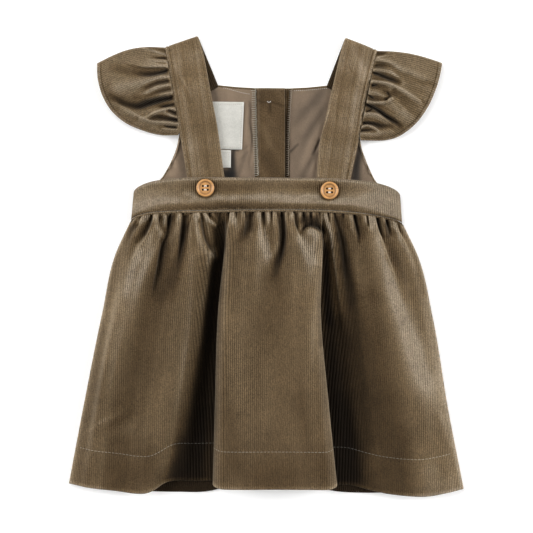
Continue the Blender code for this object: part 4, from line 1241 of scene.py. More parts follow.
    (-0.7, 2, (9, 32, 10, 22)),
    ((0.35, 0.4, 0.3), (3.4, 4.2), (-7, 28.5, -5.5, 3, -7, -29)),
    (-0.25, (8.5, 10.2), (28.5, -114, 34, -156.5)),
    (-0.25, (10.2, 11.9), (105, -114, 115.5, -148)),
    ((-0.2, -0.25), (10.2, 11.9), (-99, -161, -117.5, -180.5)),
    ((0.7, 0.8), 4.2, (-29, 40.5, -25.5, 33.5)),
    (0.6, 1.9, (-18, 45.5, -17, 39.5)),
    (-0.5, 1.7, (-15, 38, -18, 25)),
    (0.7, 1.7, (-13.5, 38, -12.5, 25)),
    ((0.6, 0.8, 0.9, 0.8), (1.4, 2.7), (-3.5, 44, -2, 26, 0.5, 15, 3, 8)),
    (1, 1.4, (4, 41.5, 5, 36)),
    ((1.1, 1.1, 0.6), 1.4, (12.5, 46.5, 14, 38, 15, 28.5)),
    (-0.6, 1.4, (11.5, 37, 11, 22)),
    (0.9, 1.7, (26, 42, 27, 36)),
    (-0.7, 1.3, (23, 41.5, 25.5, 33.5, 27, 28.5)),
    (-0.4, (2.5, 2.9), (-20.5, 22, -21.5, 6.5)),
    (-0.4, 1.9, (16, 16.5, 12.5, 8, 8.5, 1.5)),
    (0.8, 2, (-44.5, 37, -42, 35.5)),
    (-0.9, 1.7, (-42.5, 44, -39.5, 40.5)),
    (-0.8, 1.9, (-42, 31, -40, 27)),
    (0.8, 1.7, (-43.5, 12.5, -42.5, 9)),
    (0.9, 2, (-113.5, 38, -109, 39)),
    (-0.8, 1.5, (-114, 31, -108, 35.5)),
    (1, 1.7, (-103, 39, -99.5, 42)),
    ((-0.7, -0.8, -0.7), 1.4, (-98.5, 33.5, -94, 44, -90, 31)),
    (-0.5, 1.5, (-102, 27.5, -107.5, 20)),
    ((0.45, 0.5, 0.4), (2, 2.2), (-99.5, 25, -105, 13.5, -108, 3)),
    ((0.8, 0.8, 0.6), 1.4, (-89.5, 44.5, -88.5, 38, -87, 28.5)),
    (1, 1.5, (-82.5, 44.5, -82, 39.5)),
    ((-0.8, -0.8, -0.7, -0.6), 1.3, (-77.5, 43, -82, 37, -84.5, 28.5, -86, 15)),
    (0.7, 1.4, (-78.5, 35.5, -82, 21)),
    (-0.5, 1.4, (-72.5, 43, -71.5, 33)),
    (1, 1.4, (-69, 44.5, -68.5, 37)),
    ((-0.6, -0.5, -0.4), 1.4, (-66.5, 37, -69, 27, -71, 13.5)),
    (-0.7, 1.2, (-56, 39.5, -54.5, 32)),
    (0.9, 1.4, (-54.5, 44.5, -52.5, 37)),
    (0.25, (2.5, 2.9), (-63, 35.5, -56.5, 8)),
)
SKIRT_PAINTED_FOLD_SHADOWS = creases(  # painted shadow in the two deep folds beside the centre
    ((-0.8, -1.6, -2.4, -2.6), (4.2, 15.3), (-46, -54.5, -53, -114, -61.5, -152.5, -71, -190.5)),
    ((-1.2, -1.5), (5.1, 6), (-75, -146.5, -80, -180.5)),
    ((-0.8, -1.4, -1.4), (5.1, 6), (-51, -122.5, -55.5, -148, -56.5, -182)),
    ((-1.4, -3, -3.4, -3), (1.9, 3.2), (51.5, 18.5, 51.5, -5.5, 52, -29, 53.5, -48)),
    ((-0.6, -2.6, -3.2, -3.4, -3.2), (3.8, 12.8),
     (53.5, -32, 55, -67.5, 58.5, -114, 61, -152.5, 62.5, -190.5)),
    ((-1, -1.6, -1.6), (6, 7.6), (64.5, -114, 71, -148, 74.5, -182)),
)
PLEATS = (  # x of the head of each small pleat under the waistband
    -112.4, -101.8, -93.7, -86.9, -74.2, -67.4, -60.1, -51.2, -43.6, -34.2, -29.1, -20.6, -14.7, -7.9, 1.5,
    7.4, 18.5, 28.7, 34.6, 40.6, 49.9, 55.0, 61.0, 68.2, 82.2, 89.9, 98.4, 106.0, 113.3,
)


def waist_line(x: ArrayLike) -> np.ndarray:
    """The y of the seam between the band and the skirt."""
    return np.interp(x, *np.transpose(BAND_FOOT))


@dataclass(frozen=True)
class Skirt:
    """The gathered front panel and the flat back one.

    Attributes:
        columns: Of the front panel's net.
        rows: Of the front panel's net, closest at the waist.
        thick: Of the cloth.
        width: Of each panel's cut, across the wales.
        hem_turn: Radius of the turn at the hem.
        hem_depth: How far the hem is turned up inside.
        back_thick: Of the back panel.
        seam_turn: How a side turns down at its seam: steps outwards and upwards from the face.
    """

    columns: int = 364
    rows: int = 110
    thick: float = 1.0
    width: float = 393.0
    hem_turn: float = 1.05
    hem_depth: float = 31.0
    back_thick: float = 0.9
    seam_turn: tuple[tuple[float, float], ...] = ((0.45, -0.35), (0.85, -1.1), (0.9, -2.1))

    def surface(self) -> np.ndarray:
        """The smooth face of the front panel, without its gathers, on a dense even net.

        Returns:
            For each point its x, y and z, and its place across the wales.
        """
        rows, columns, samples = 121, 961, 24
        down = np.linspace(0.0, 1.0, rows)
        across = hermite(STATIONS, np.transpose([fold[0] for fold in SKIRT_FOLDS]), down)
        height = hermite(STATIONS, np.transpose([fold[1] for fold in SKIRT_FOLDS]), down)
        hem = np.array([fold[2] for fold in SKIRT_FOLDS]) + self.hem_turn
        waist = waist_line(across[0]) - GAP
        surface = np.empty((rows, columns, 4))
        for row, share in enumerate(down):
            folds = np.stack([across[row], waist + (hem - waist) * share, height[row]], -1)
            dense, length = along(folds, samples)
            even = np.linspace(0.0, length[-1], columns)
            knots = length[::samples]
            wales = knots.copy()
            for first, crest, last in WALE_PANELS:
                wales[first:last] += folds[crest, 0] - wales[crest]
            inner = np.concatenate([np.arange(first, last) for first, _, last in WALE_PANELS])
            wales = np.interp(length, knots[inner], wales[inner])
            surface[row] = np.stack([np.interp(even, length, values) for values in (*dense.T, wales)], -1)
        return surface

    def front_net(self) -> Net:
        """The front panel with its gathers, creases, hem and side seams.

        Returns:
            Its net.
        """
        dense = self.surface()
        down = np.linspace(0.0, 1.0, self.rows) ** 1.2
        pick = np.linspace(0, dense.shape[1] - 1, self.columns).round().astype(int)
        levels = np.linspace(0.0, 1.0, len(dense))
        picked = dense[:, pick].reshape(len(dense), -1)
        face = hermite(levels, picked, down).reshape(self.rows, self.columns, 4)
        sides = ((0, 0), (len(self.seam_turn),) * 2)
        face, across = face[..., :3], np.pad(face[..., 3], sides, "edge")
        facing = normals(face)
        length = np.ptp(face[:, self.columns // 2, 1])
        below = (down * length)[:, None]
        share = np.linspace(0.0, 1.0, self.columns)
        to_side = np.minimum(share, 1 - share)
        inside = ease(0.0, 0.03, to_side)
        upward = ease(0.1, 0.6, facing[..., 2])
        gathers = relief(face[..., :2], WAIST_CREASES)
        hem_line = length - self.hem_depth
        lift = self.lift(face[..., :2], gathers, below, hem_line) * inside * upward
        face = face + facing * lift[..., None]
        floor = 2.9 + 1.2 * ease(hem_line - 12.0, hem_line, below)
        face[..., 2] = np.where(inside > 0.99, np.maximum(face[..., 2], floor), face[..., 2])
        face = self.with_side_seams(face)
        # painted highlights on the heads of the gathers, along the hem's edge and along the side seams
        painted_highlight = 0.7 * np.clip(gathers / 2.4, 0.0, 1.0) * bell(below, 4.0, 3.0)
        painted_highlight = np.pad(painted_highlight, sides, "edge") + 0.8 * ease(length - 1.7, length - 0.5, below)
        painted_highlight += np.pad(0.9 * bell(to_side * self.width, 0.0, 1.8), sides[1], "edge")
        # painted shade close under the waistband
        shade = self.shade(face) * (0.5 + 0.5 * ease(0.0, 1.4, below)) * (1 + painted_highlight)
        net = Net(face, across, arc(face, 0), shade)
        return rolled(net, self.hem_turn, int((below > hem_line).sum()))

    def lift(self, plan: np.ndarray, gathers: np.ndarray, below: np.ndarray, hem_line: float) -> np.ndarray:
        """How far the gathers, the creases and the hem lift the front panel's face.

        Args:
            plan: The face's x and y.
            gathers: The lift of the gathers.
            below: How far each row lies below the waist, in mm.
            hem_line: How far the hem's stitches lie below it.

        Returns:
            The lift in mm.
        """
        heads = 0.35 * np.maximum(gathers, 0.0) * bell(below, 3.0, 2.6)
        lift = (gathers + heads) * (0.55 + 0.45 * ease(0.0, 3.0, below))
        lift = lift + relief(plan, self.pleat_gaps())
        lift = lift + relief(plan, SKIRT_CREASES)
        across = np.linspace(0.0, 1.0, self.columns) * self.width
        lift = lift + 0.15 * ripple(across, 3, (13.0, 19.0, 31.0)) * ease(10.0, 60.0, below)
        return lift - 0.45 * bell(below, hem_line, 1.6) + 0.25 * ease(hem_line, hem_line + 4.0, below)

    def pleat_gaps(self) -> tuple[Crease, ...]:
        """The narrow gaps between the heads of the pleats, each of its own length and depth.

        Returns:
            A trough for each gap.
        """
        uneven = np.random.default_rng(7).uniform(0.0, 1.0, (len(PLEATS), 3))
        gaps = []
        for left, right, (depth, length, place) in zip(PLEATS[:-1], PLEATS[1:], uneven):
            x = left + (right - left) * (0.42 + 0.16 * place)
            y, reach = float(waist_line(x)), 6.0 + 9.0 * length
            path = [(x, y), (x * (1 + 0.001 * reach), y - reach / 2), (x * (1 + 0.003 * reach), y - reach)]
            gaps.append(Crease((-1.2 - 1.0 * depth, -0.8 - 1.0 * depth, 0.0), (0.8, 1.2), path))
        return tuple(gaps)

    def with_side_seams(self, face: np.ndarray) -> np.ndarray:
        """Turn both sides of the front panel down to the back one.

        Args:
            face: The panel's points.

        Returns:
            The points with more columns at both sides.
        """
        left = [face[:, 0] + (-out, 0.0, rise) for out, rise in self.seam_turn[::-1]]
        right = [face[:, -1] + (out, 0.0, rise) for out, rise in self.seam_turn]
        return np.concatenate([np.stack(left, 1), face, np.stack(right, 1)], axis=1)

    def shade(self, face: np.ndarray) -> np.ndarray:
        """Painted light and shade: painted shade deep in the folds and in the two hollows beside the centre,
        with painted highlights and shadows along the folds.

        Args:
            face: The panel's points.

        Returns:
            The shade at each.
        """
        plan = face[..., :2]
        to_hem = arc(face, 0)[-1] - arc(face, 0)
        # painted shadow in the two deep folds beside the centre, lighter at the hem's edge
        low = relief(plan, SKIRT_PAINTED_FOLD_SHADOWS) * ease(11.0, 6.0, face[..., 2])
        low = low * (1 - 0.5 * bell(to_hem, 0.0, 0.9))
        # painted shade where higher cloth closes in on both sides
        open_share = openness(face, 1, (2, 4, 7, 11, 16, 23, 33, 46))
        return (0.05 + open_share**2.6) * 2.0 ** (relief(plan, SKIRT_PAINTED_LIGHT) + low - 0.05)

    def back_net(self) -> Net:
        """The back panel, flat on the floor, with its hem turned up inside.

        Returns:
            Its net, facing down.
        """
        down = np.linspace(0.0, 1.0, 40)
        left, right = (hermite(STATIONS, np.array(SKIRT_FOLDS[k][0])[:, None], down) for k in (0, -1))
        share = np.linspace(1.0, 0.0, 120)
        x = left + (right - left) * (1 - share)
        waist = waist_line(x[0]) - GAP
        y = waist + (read_table(BACK_HEM, x[-1]) + self.back_thick - waist) * down[:, None]
        under = raised(np.stack([x, y], -1), 0.0)[:, ::-1]
        net = rolled(Net(under, x[:, ::-1], waist - y, np.ones(y.shape)), self.back_thick + 0.1, 5)
        # painted shade on the hem turned up inside the back panel
        in_the_dark = len(under) + 3
        net.shade[in_the_dark:] = 0.12
        return net

    def hem_seam(self, net: Net) -> np.ndarray:
        """The line of stitches that holds the front hem.

        Args:
            net: The front panel's.

        Returns:
            Points on the cloth, with the painted shade that each takes from it.
        """
        face = net.points[: self.rows, 6:-6]
        far = arc(face, 0)
        seam = np.array([
            [np.interp(far[-1, k] - self.hem_depth, far[:, k], face[:, k, axis]) for axis in range(3)]
            for k in range(face.shape[1])
        ])
        row = int(np.argmin(np.abs(far[:, -1] + self.hem_depth - far[-1, -1])))
        # painted shade: the stitches darken where the cloth is painted dark
        light = 0.15 + 0.85 * np.clip(net.shade[row, 6:-6], 0.0, 1.0)
        return np.column_stack([seam + (0.0, 0.0, 0.15), light])

    def build(self) -> None:
        """Make both panels and the hem's stitches."""
        net = self.front_net()
        front = add_piece("skirt_front_cloth", net, CORDUROY, Slot.CORDUROY, "skirt_front")
        thicken(front, self.thick)
        sewn = HEM_STITCH.sew("skirt_hem_stitches", self.hem_seam(net))
        back = add_piece("skirt_back_cloth", self.back_net(), CORDUROY, Slot.CORDUROY, "skirt_back")
        thicken(back, self.back_thick)


# ---------------------------------------------------------------- the bodice

BACK_TOP = [  # x, y along the left shoulder seam, the neck and the right shoulder seam
    (-67.6, 138.6), (-41.0, 153.5), (-25.7, 152.0), (-9.0, 151.0), (20.2, 150.8), (35.5, 151.6),
    (51.6, 153.1), (77.1, 140.8),
]
SHOULDERS = {Side.LEFT: (-67.6, -41.0), Side.RIGHT: (77.1, 51.6)}  # x of each strap's outer and inner edge
NECK_EDGES = {Side.LEFT: (-41.0, 15.4), Side.RIGHT: (16.2, 51.6)}  # x, on the two sides of the opening
ARMHOLES = {
    Side.LEFT: [
        (-112.0, 60.0), (-104.0, 64.0), (-96.0, 68.0), (-89.0, 74.2), (-84.6, 81.2), (-81.0, 88.1),
        (-76.9, 98.3), (-74.6, 108.0), (-72.4, 122.0), (-67.6, 138.6),
    ],
    Side.RIGHT: [
        (112.6, 57.8), (105.0, 62.5), (98.0, 66.5), (93.0, 71.6), (87.3, 83.0), (83.9, 91.6),
        (81.4, 98.9), (79.6, 109.5), (78.6, 123.8), (77.1, 140.8),
    ],
}


# painted highlights and shadows on the band's face, where 1 is twice as light
BAND_PAINTED_LIGHT = creases(
    ((-0.7, -0.7, -0.4), 5.1, (-42, 66, -26.5, 65, -14, 64.5)),
    ((-0.6, -0.7, -0.5), (3, 3.4), (-41, 53, -32.5, 50.5, -20.5, 49)),
    (-0.5, 2.5, (-73.5, 54, -65, 56.5)),
    (0.5, 2.5, (-67.5, 61, -61.5, 60)),
    ((0.5, 0.5, 0.6, 0.5), 2.1, (-3.5, 54, 20, 54, 44, 53, 67, 53)),
    ((-0.5, -0.4), 4.2, (44, 67.5, 28.5, 67)),
    ((0.4, 0.4, 0.3), (4.2, 6.8), (84, 57.5, 101, 53, 112, 49)),
    (0.35, 6.8, (110.5, 61, 112, 45.5)),
    ((0.4, 0.3), 4.2, (-110, 47.5, -99, 50.5)),
    (-0.3, 2.5, (-107.5, 66, -86, 68.5)),
    ((-0.5, -0.6, -0.5), 1.7, (-66.5, 48.5, -43.5, 49, -17, 49.5)),
    ((0.25, 0.25, 0.3, 0.3), (6, 8), (20, 52, 50, 52, 80, 51, 112, 48)),
    ((0.2, 0.25), 7, (92, 60, 112, 58)),
)


@dataclass(frozen=True)
class Waistband:
    """The front waistband, with the welt along its foot.

    Attributes:
        columns: Points along it.
        rows: Points up its face.
        thick: In the middle, in mm.
        end_thick: At the side seams.
        welt: Radius of the lip at its foot.
        tones: Painted highlights and shadows on its face, where 1 is twice as light.
    """

    columns: int = 260
    rows: int = 30
    thick: float = 2.2
    end_thick: float = 1.5
    welt: float = 0.95
    tones: tuple[Crease, ...] = BAND_PAINTED_LIGHT

    def build(self) -> None:
        """Make the band with its painted light and shade, its welt, and a row of wale ends along its top in a
        lighter thread, a painted highlight on the folded edge.
        """
        share = 0.5 - 0.5 * np.cos(np.linspace(0.0, math.pi, self.columns))
        foot, top = edge(BAND_FOOT)(share), edge(BAND_TOP)(share)
        ends = ease(0.0, 0.03, np.minimum(share, 1 - share))
        thick = self.end_thick + (self.thick - self.end_thick) * ends
        height = read_table(BAND_FACE, (foot[:, 0] + top[:, 0]) / 2) - thick / 2
        low = raised(foot + (0.0, 0.9), height - 0.35)
        high = raised(top, height - 0.45)
        v = np.linspace(0.0, 1.0, self.rows)[None]
        x = foot[:, 0][:, None]
        facing = unit(np.cross(high - low, (-1.0, 0.0, 0.0)))
        points = capped(strip(low, high, facing, thick, self.lift(x, v) * ends[:, None]))
        across = np.broadcast_to(arc(points[:, self.rows // 2][:, None], 0), points.shape[:2])
        shade = np.ones(points.shape[:2])
        face = points[1:-1, : self.rows, :2]
        # painted light and shade on the band's face, with painted shadows round and under the buttons
        tones = relief(face, self.tones) + relief(face, self.button_shadows())
        shade[1:-1, : self.rows] = self.shade(x, v) * 2.0**tones
        net = Net(points, across, arc(points, 1), shade, closed=True)
        band = add_piece("waistband_cloth", net, CORDUROY, Slot.CORDUROY, "waistband_front")
        line = raised(foot + (0.0, -0.15), height + 0.5 + 0.12 * ripple(foot[:, 0], 9, (7.0, 12.0)) * ends)
        ring = tube(line, self.welt * (0.5 + 0.5 * ends), 9)
        # painted light on the welt, darker towards the right end
        light = np.broadcast_to((1.15 - 0.5 * ease(60.0, 108.0, foot[:, 0]))[:, None], ring.shape[:2])
        distance = np.broadcast_to(arc(line[:, None], 0), ring.shape[:2])
        net = Net(ring, distance, arc(ring, 1), light, closed=True)
        welt = add_piece("waistband_welt", net, CORDUROY, Slot.CORDUROY)
        wales = WALE_END.sew("waistband_wale_ends", raised(top + (0.0, -0.3), height + 0.5)[6:-6])

    def lift(self, x: np.ndarray, v: np.ndarray) -> np.ndarray:
        """How far the band's face stands up.

        Args:
            x: Along the band, in mm.
            v: Up the band, from 0 to 1.

        Returns:
            The lift in mm.
        """
        crown = 0.75 * np.sin(math.pi * np.clip(v, 0.02, 0.98)) ** 0.7
        roll = 0.55 * bell(v - 0.45 - 0.05 * ripple(x, 5, (23.0, 41.0)), 0.0, 0.16)
        hollow = -0.45 * bell(v, 0.75, 0.12)
        waver = 0.22 * ripple(x, 6, (9.0, 14.0, 27.0)) * bell(v, 0.4, 0.3)
        pull = 0.3 * ripple(x, 8, (6.5, 9.5)) * bell(v, 0.0, 0.16)
        return crown + roll + hollow + waver + pull

    def button_shadows(self) -> tuple[Crease, ...]:
        """Painted shadows round the buttons, most at their lower right, and painted dark under them.

        Returns:
            A ring and a spot for each button.
        """
        turns = np.radians(np.linspace(100.0, -260.0, 13))
        # how deep the painted shadow lies on the way round each button
        pressed = (-0.7, -0.9, -1.4, -1.8, -1.8, -1.6, -1.2, -0.9, -0.7)
        reach = 8.1
        rings, spots = [], []
        for x, y in BUTTONS.values():
            ring = [(x + reach * math.cos(turn), y + reach * math.sin(turn)) for turn in turns]
            rings.append(Crease(pressed, (1.3, 1.3), ring))
            # painted dark under each button, seen through its holes
            spots.append(Crease((-5.0,), (4.4, 4.4), [(x - 0.2, y), (x + 0.2, y)]))
        return (*rings, *spots)

    def shade(self, x: np.ndarray, v: np.ndarray) -> np.ndarray:
        """Painted light and shade along the band and up it: lighter at the ends, a painted highlight along
        the middle, painted shade above it and at the foot, a painted highlight on the top edge.

        Args:
            x: Along the band, in mm.
            v: Up the band, from 0 to 1.

        Returns:
            The shade.
        """
        ends = ease(55.0, 110.0, np.abs(x))
        middle = 0.38 - 0.08 * ease(30.0, 80.0, np.abs(x)) + 0.03 * ripple(x, 51, (31.0, 47.0))
        streak = (0.75 + 0.2 * ripple(x, 52, (12.0, 21.0, 35.0))) * bell(v, middle, 0.11)
        dark = -0.45 * bell(v, 0.74, 0.16) * (1 - 0.8 * ends)
        dark = dark - 1.1 * bell(v, 0.10, 0.09) * (1 - 0.75 * ends)
        rims = 0.9 * bell(v, 0.985, 0.03) - 1.2 * bell(v, 0.0, 0.05)
        return 2.0 ** (0.35 + 0.4 * ends + 0.3 * ease(60.0, 110.0, x) + streak + dark + rims)


LINING_CREASES = creases(
    ((0, -0.8, -0.6, 0), (1.3, 1.6), (-14.5, 140, -13, 130.5, -14, 122, -12, 112)),
    ((0, -0.9, -0.7, 0), (1.2, 1.4), (-14, 122, -11.5, 108.5, -13, 96.5)),
    ((0, -0.7, -0.5, 0), (1.2, 1.6), (-11.5, 98.5, -14, 87, -12, 75.5)),
    ((0, 0.6, 0.6, 0), (1.8, 2), (-17, 137.5, -16.5, 120.5, -17, 101.5)),
    ((0, -0.8, -0.6, 0), (1.6, 2), (-16.5, 98.5, -21.5, 88, -25, 75.5)),
    ((0, 0.6, 0), (1.6, 2), (-19, 96.5, -24, 90)),
    ((0, -0.6, 0), (1.2, 1.4), (-12, 103.5, -17, 100, -20, 96.5)),
    ((0, -1, -1, -0.8, 0), (3.2, 4.5), (51, 154.5, 41.5, 140, 31, 129, 22.5, 118, 19.5, 110)),
    ((0, 0.8, 0.8, 0), (3.4, 4), (47.5, 137.5, 36.5, 123, 26, 107)),
    ((0, -0.9, -0.8, 0), (3, 4), (51.5, 137.5, 42.5, 122, 31, 103.5, 24.5, 83)),
    ((0, 0.8, 0.8, 0), (3, 4), (45.5, 118.5, 36.5, 101.5, 28.5, 79.5)),
    ((-0.6, -1, 0), (1, 1.2), (20.5, 97, 23.5, 100, 28, 103.5)),
    ((-0.8, -1, 0), (1, 1.4), (45.5, 107, 43, 100, 39, 93)),
    ((0, -0.8, -0.8), (2.2, 3), (42.5, 96.5, 36.5, 87, 31, 75.5)),
    ((0, 0.6, 0), (1.8, 2), (41.5, 90, 38, 75.5)),
    ((0, -0.5, 0), (1.2, 1.6), (-73.5, 113.5, -71.5, 96.5)),
    ((0, 0.5, 0), (1.6, 1.8), (-80, 94, -74, 78)),
    ((0, -0.5, 0), (1.4, 1.6), (84, 104, 79.5, 84.5)),
    ((0, 0.5, 0), (1.4, 1.6), (86.5, 91.5, 79.5, 75.5)),
)
# painted shadows of the size tag and the straps on the lining, painted shade along its creases and a painted
# light patch by the left armhole
LINING_PAINTED_LIGHT = creases(
    (-0.7, 2.4, (-45.5, 151, -42.5, 141)),
    ((-2.4, -3.4, -3.4, -3.2), (1.4, 4), (-27.5, 98.5, -28.5, 94, -29, 84.5, -29.5, 74.5)),
    (-3.4, 3.2, (-37, 78.5, -30, 77.5)),
    (-1.6, 0.8, (-31, 98.5, -24, 98)),
    ((-0.4, -0.5, -0.4), 1.4, (-14, 139, -13, 130.5, -13.5, 122)),
    ((-0.4, -0.6, -0.4), 1.2, (-13.5, 120.5, -11.5, 108.5, -13, 96.5)),
    (-0.4, (1.6, 2.2), (-16.5, 96.5, -24, 76)),
    ((-0.3, -0.4, -0.35, 0), (4, 5), (50, 152.5, 40.5, 139, 30.5, 129, 21, 117)),
    ((-0.3, -0.3, -0.2), (3.4, 4), (51, 135.5, 40.5, 118.5, 25.5, 84.5)),
    ((-1, -0.8), 0.9, (20.5, 97, 27, 103)),
    ((-1, -0.6), (1.1, 1.3), (45.5, 107, 39.5, 95)),
    (-0.4, (2.4, 3), (42.5, 95.5, 31, 75.5)),
    ((-1.2, -2.6, -3, -3), (1.2, 3.8), (79.5, 104, 79, 96.5, 77, 85.5, 76, 74.5)),
    (0.35, 4, (-76, 98.5, -80, 78)),
    ((-0.3, -0.35), (4.5, 5), (47.5, 144, 30.5, 110)),
    (-0.3, 3, (-72.5, 98.5, -70, 76)),
)
# painted shade along the facing's seam and creases, and painted light patches
FACING_PAINTED_LIGHT = creases(
    ((-0.8, -0.9, -0.3), 1, (-7, 140.5, -3, 139, 0.5, 139)),
    ((-0.3, -0.9, -0.9), (1, 1.1), (4, 139, 9, 137.5, 15, 135.5)),
    ((-1, -0.9, 0), (1.2, 1.8), (3, 138, 3, 133, 2.5, 126.5)),
    (-0.4, 3, (-4.5, 145, -3.5, 134)),
    (0.4, 4, (0, 117, 3, 102.5)),
    ((-0.3, -0.4), 5, (0, 91.5, 6.5, 79.5)),
)


@dataclass(frozen=True)
class Bodice:
    """The two back panels that lap at the centre, with their linings, facings and seams.

    Attributes:
        climb: Where the left panel starts to climb onto the right one.
        crest: Where it lies level on it.
        left_edge: The free edge of the left panel.
        right_edge: The hidden edge of the right panel.
        waist_end: How far each panel reaches out at the waist.
        lining_to: How far each lining reaches towards the centre.
        facing_to: How far each facing reaches to the right.
        fold: How the left facing folds down past that: x, and how far it drops.
        neck_showing: Corduroy left showing above the lining.
        armhole_showing: Corduroy left showing beside the lining.
        roll: Radius of the rolled edge at the neck and the armholes.
    """

    climb: float = -9.0
    crest: float = -4.3
    left_edge: float = 15.9
    right_edge: float = -3.6
    waist_end: float = 114.4
    lining_to: tuple[float, float] = (-9.4, 20.0)
    facing_to: tuple[float, float] = (15.0, 19.6)
    fold: Corners = ((15.5, -0.12), (15.85, -0.45), (16.0, -1.1), (15.9, -1.9))
    neck_showing: float = 1.7
    armhole_showing: float = 1.5
    roll: float = 1.1
    lining_creases: tuple[Crease, ...] = LINING_CREASES
    lining_tones: tuple[Crease, ...] = LINING_PAINTED_LIGHT
    facing_tones: tuple[Crease, ...] = FACING_PAINTED_LIGHT

    def lifted(self, x: np.ndarray) -> np.ndarray:
        """How far the left panel is raised where it lies on the right one."""
        return 2.8 * ease(self.climb, self.crest, x)

    def panel(
        self, foot_x: np.ndarray, top_x: np.ndarray, drop: float, side_edge: ArrayLike | None = None
    ) -> np.ndarray:
        """Plan points from the neck down to the waist.

        Args:
            foot_x: The columns' x at the waist.
            top_x: The columns' x at the neck.
            drop: How far the panel ends below the neck edge.
            side_edge: The armhole that the first column follows, if it has one.

        Returns:
            Rows of x and y, from the neck down.
        """
        up = np.linspace(0.0, 1.0, 90)
        foot = np.stack([foot_x, waist_line(foot_x) + 1.5], -1)
        top = np.stack([top_x, np.interp(top_x, *np.transpose(BACK_TOP)) - drop], -1)
        plan = foot + (top - foot) * up[:, None, None]
        if side_edge is not None:
            side = edge([foot[0], side_edge[0]], [*side_edge[:-1], top[0]])(up)
            fade = 1 - ease(0.0, 0.8, np.linspace(0.0, 1.0, len(foot_x)))
            plan = plan + fade[:, None] * (side - plan[:, 0])[:, None, :]
        return plan[::-1]

    def cloth_net(self, side: Side, plan: np.ndarray, height: np.ndarray) -> Net:
        """A net on plan points whose wales run up the body.

        Args:
            side: The panel's.
            plan: Its x and y, from the armhole in.
            height: Its z.

        Returns:
            The net, with its columns from left to right.
        """
        if side is Side.RIGHT and plan[0, 0, 0] > plan[0, -1, 0]:
            plan, height = plan[:, ::-1], height[:, ::-1]
        return Net(raised(plan, height), plan[..., 0], -plan[..., 1])

    def columns(self, side: Side, inner: float, side_x: float, count: int) -> tuple[np.ndarray, np.ndarray]:
        """The x of a panel's columns, from the armhole in.

        Args:
            side: The panel's.
            inner: The x of its edge at the centre.
            side_x: The x of its side at the waist.
            count: How many columns it has.

        Returns:
            Their x at the waist and at the neck.
        """
        outer_end, inner_end = SHOULDERS[side]
        third = count // 3
        shoulder = np.linspace(outer_end, inner_end, third)
        neck = np.linspace(inner_end, inner, count - third + 1)[1:]
        return np.linspace(side_x, inner, count), np.concatenate([shoulder, neck])

    def build_back(self, side: Side) -> None:
        """Make one back panel, with its neck and armhole rolled to the inside.

        Args:
            side: Which one.
        """
        inner = self.left_edge if side is Side.LEFT else self.right_edge
        foot_x, top_x = self.columns(side, inner, side.out * self.waist_end, 60)
        plan = self.panel(foot_x, top_x, 0.0, ARMHOLES[side])
        lift = self.lifted(plan[..., 0]) if side is Side.LEFT else plan[..., 0] * 0
        net = self.cloth_net(side, plan, lift + 1.2)
        name = f"bodice_{side.value}_cloth"
        back = add_piece(name, net, CORDUROY, Slot.CORDUROY, f"bodice_back_{side.value}")
        thicken(back, 1.1)
        x = np.linspace(*NECK_EDGES[side], 90)
        neck_lift = self.lifted(x) if side is Side.LEFT else x * 0
        neck = np.stack([x, np.interp(x, *np.transpose(BACK_TOP)) - self.roll, neck_lift + 1.3], -1)
        arm = raised(edge(ARMHOLES[side])(np.linspace(0.02, 1.0, 150)) - (side.out * self.roll, 0.0), 1.3)
        for part, line in (("neck", neck), ("armhole", arm)):
            ring = tube(line, self.roll, 10)
            rim = Net(ring, ring[..., 0], arc(ring, 1), closed=True)
            add_piece(f"{part}_edge_{side.value}", rim, CORDUROY, Slot.CORDUROY)

    def build_lining(self, side: Side) -> None:
        """Make one lining, softly creased.

        Args:
            side: Which one.
        """
        inner = self.lining_to[0 if side is Side.LEFT else 1]
        armhole = np.array(ARMHOLES[side]) - (side.out * self.armhole_showing, 0.0)
        armhole[:, 0] = np.clip(armhole[:, 0], -105.5, 105.5)
        foot_x, top_x = self.columns(side, inner, armhole[0][0], 150)
        top_x[0] -= side.out * self.armhole_showing
        plan = self.panel(foot_x, top_x, self.neck_showing, armhole)
        soft = 0.12 * ripple(plan[..., 0] + 0.4 * plan[..., 1], 12, (13.0, 21.0))
        rest = 2.5
        net = self.cloth_net(side, plan, rest + (relief(plan, self.lining_creases) + soft))
        # painted light where the lining stands up and painted shade where it sinks, with the right lining
        # painted darker
        tone = 0.3 * np.clip(net.points[..., 2] - rest, -0.8, 0.6) - (0.18 if side is Side.RIGHT else 0.0)
        net.shade = 2.0 ** (tone + relief(net.points[..., :2], self.lining_tones))
        name = f"lining_{side.value}_cloth"
        lining = add_piece(name, net, LINING, Slot.LINING, f"lining_{side.value}")
        thicken(lining, 0.8)
        first, last = (-37.5, -14.0) if side is Side.LEFT else (22.5, 52.0)
        x = np.linspace(first, last, 60)
        drop = 1.9 + 3.4 * ease(0.0, 1.0, (x - first) / (last - first)) if side is Side.LEFT else 2.3
        line = raised(np.stack([x, np.interp(x, *np.transpose(BACK_TOP)) - drop], -1), rest + 0.12)
        dots = UNDERSTITCH.sew(f"understitching_{side.value}", line)

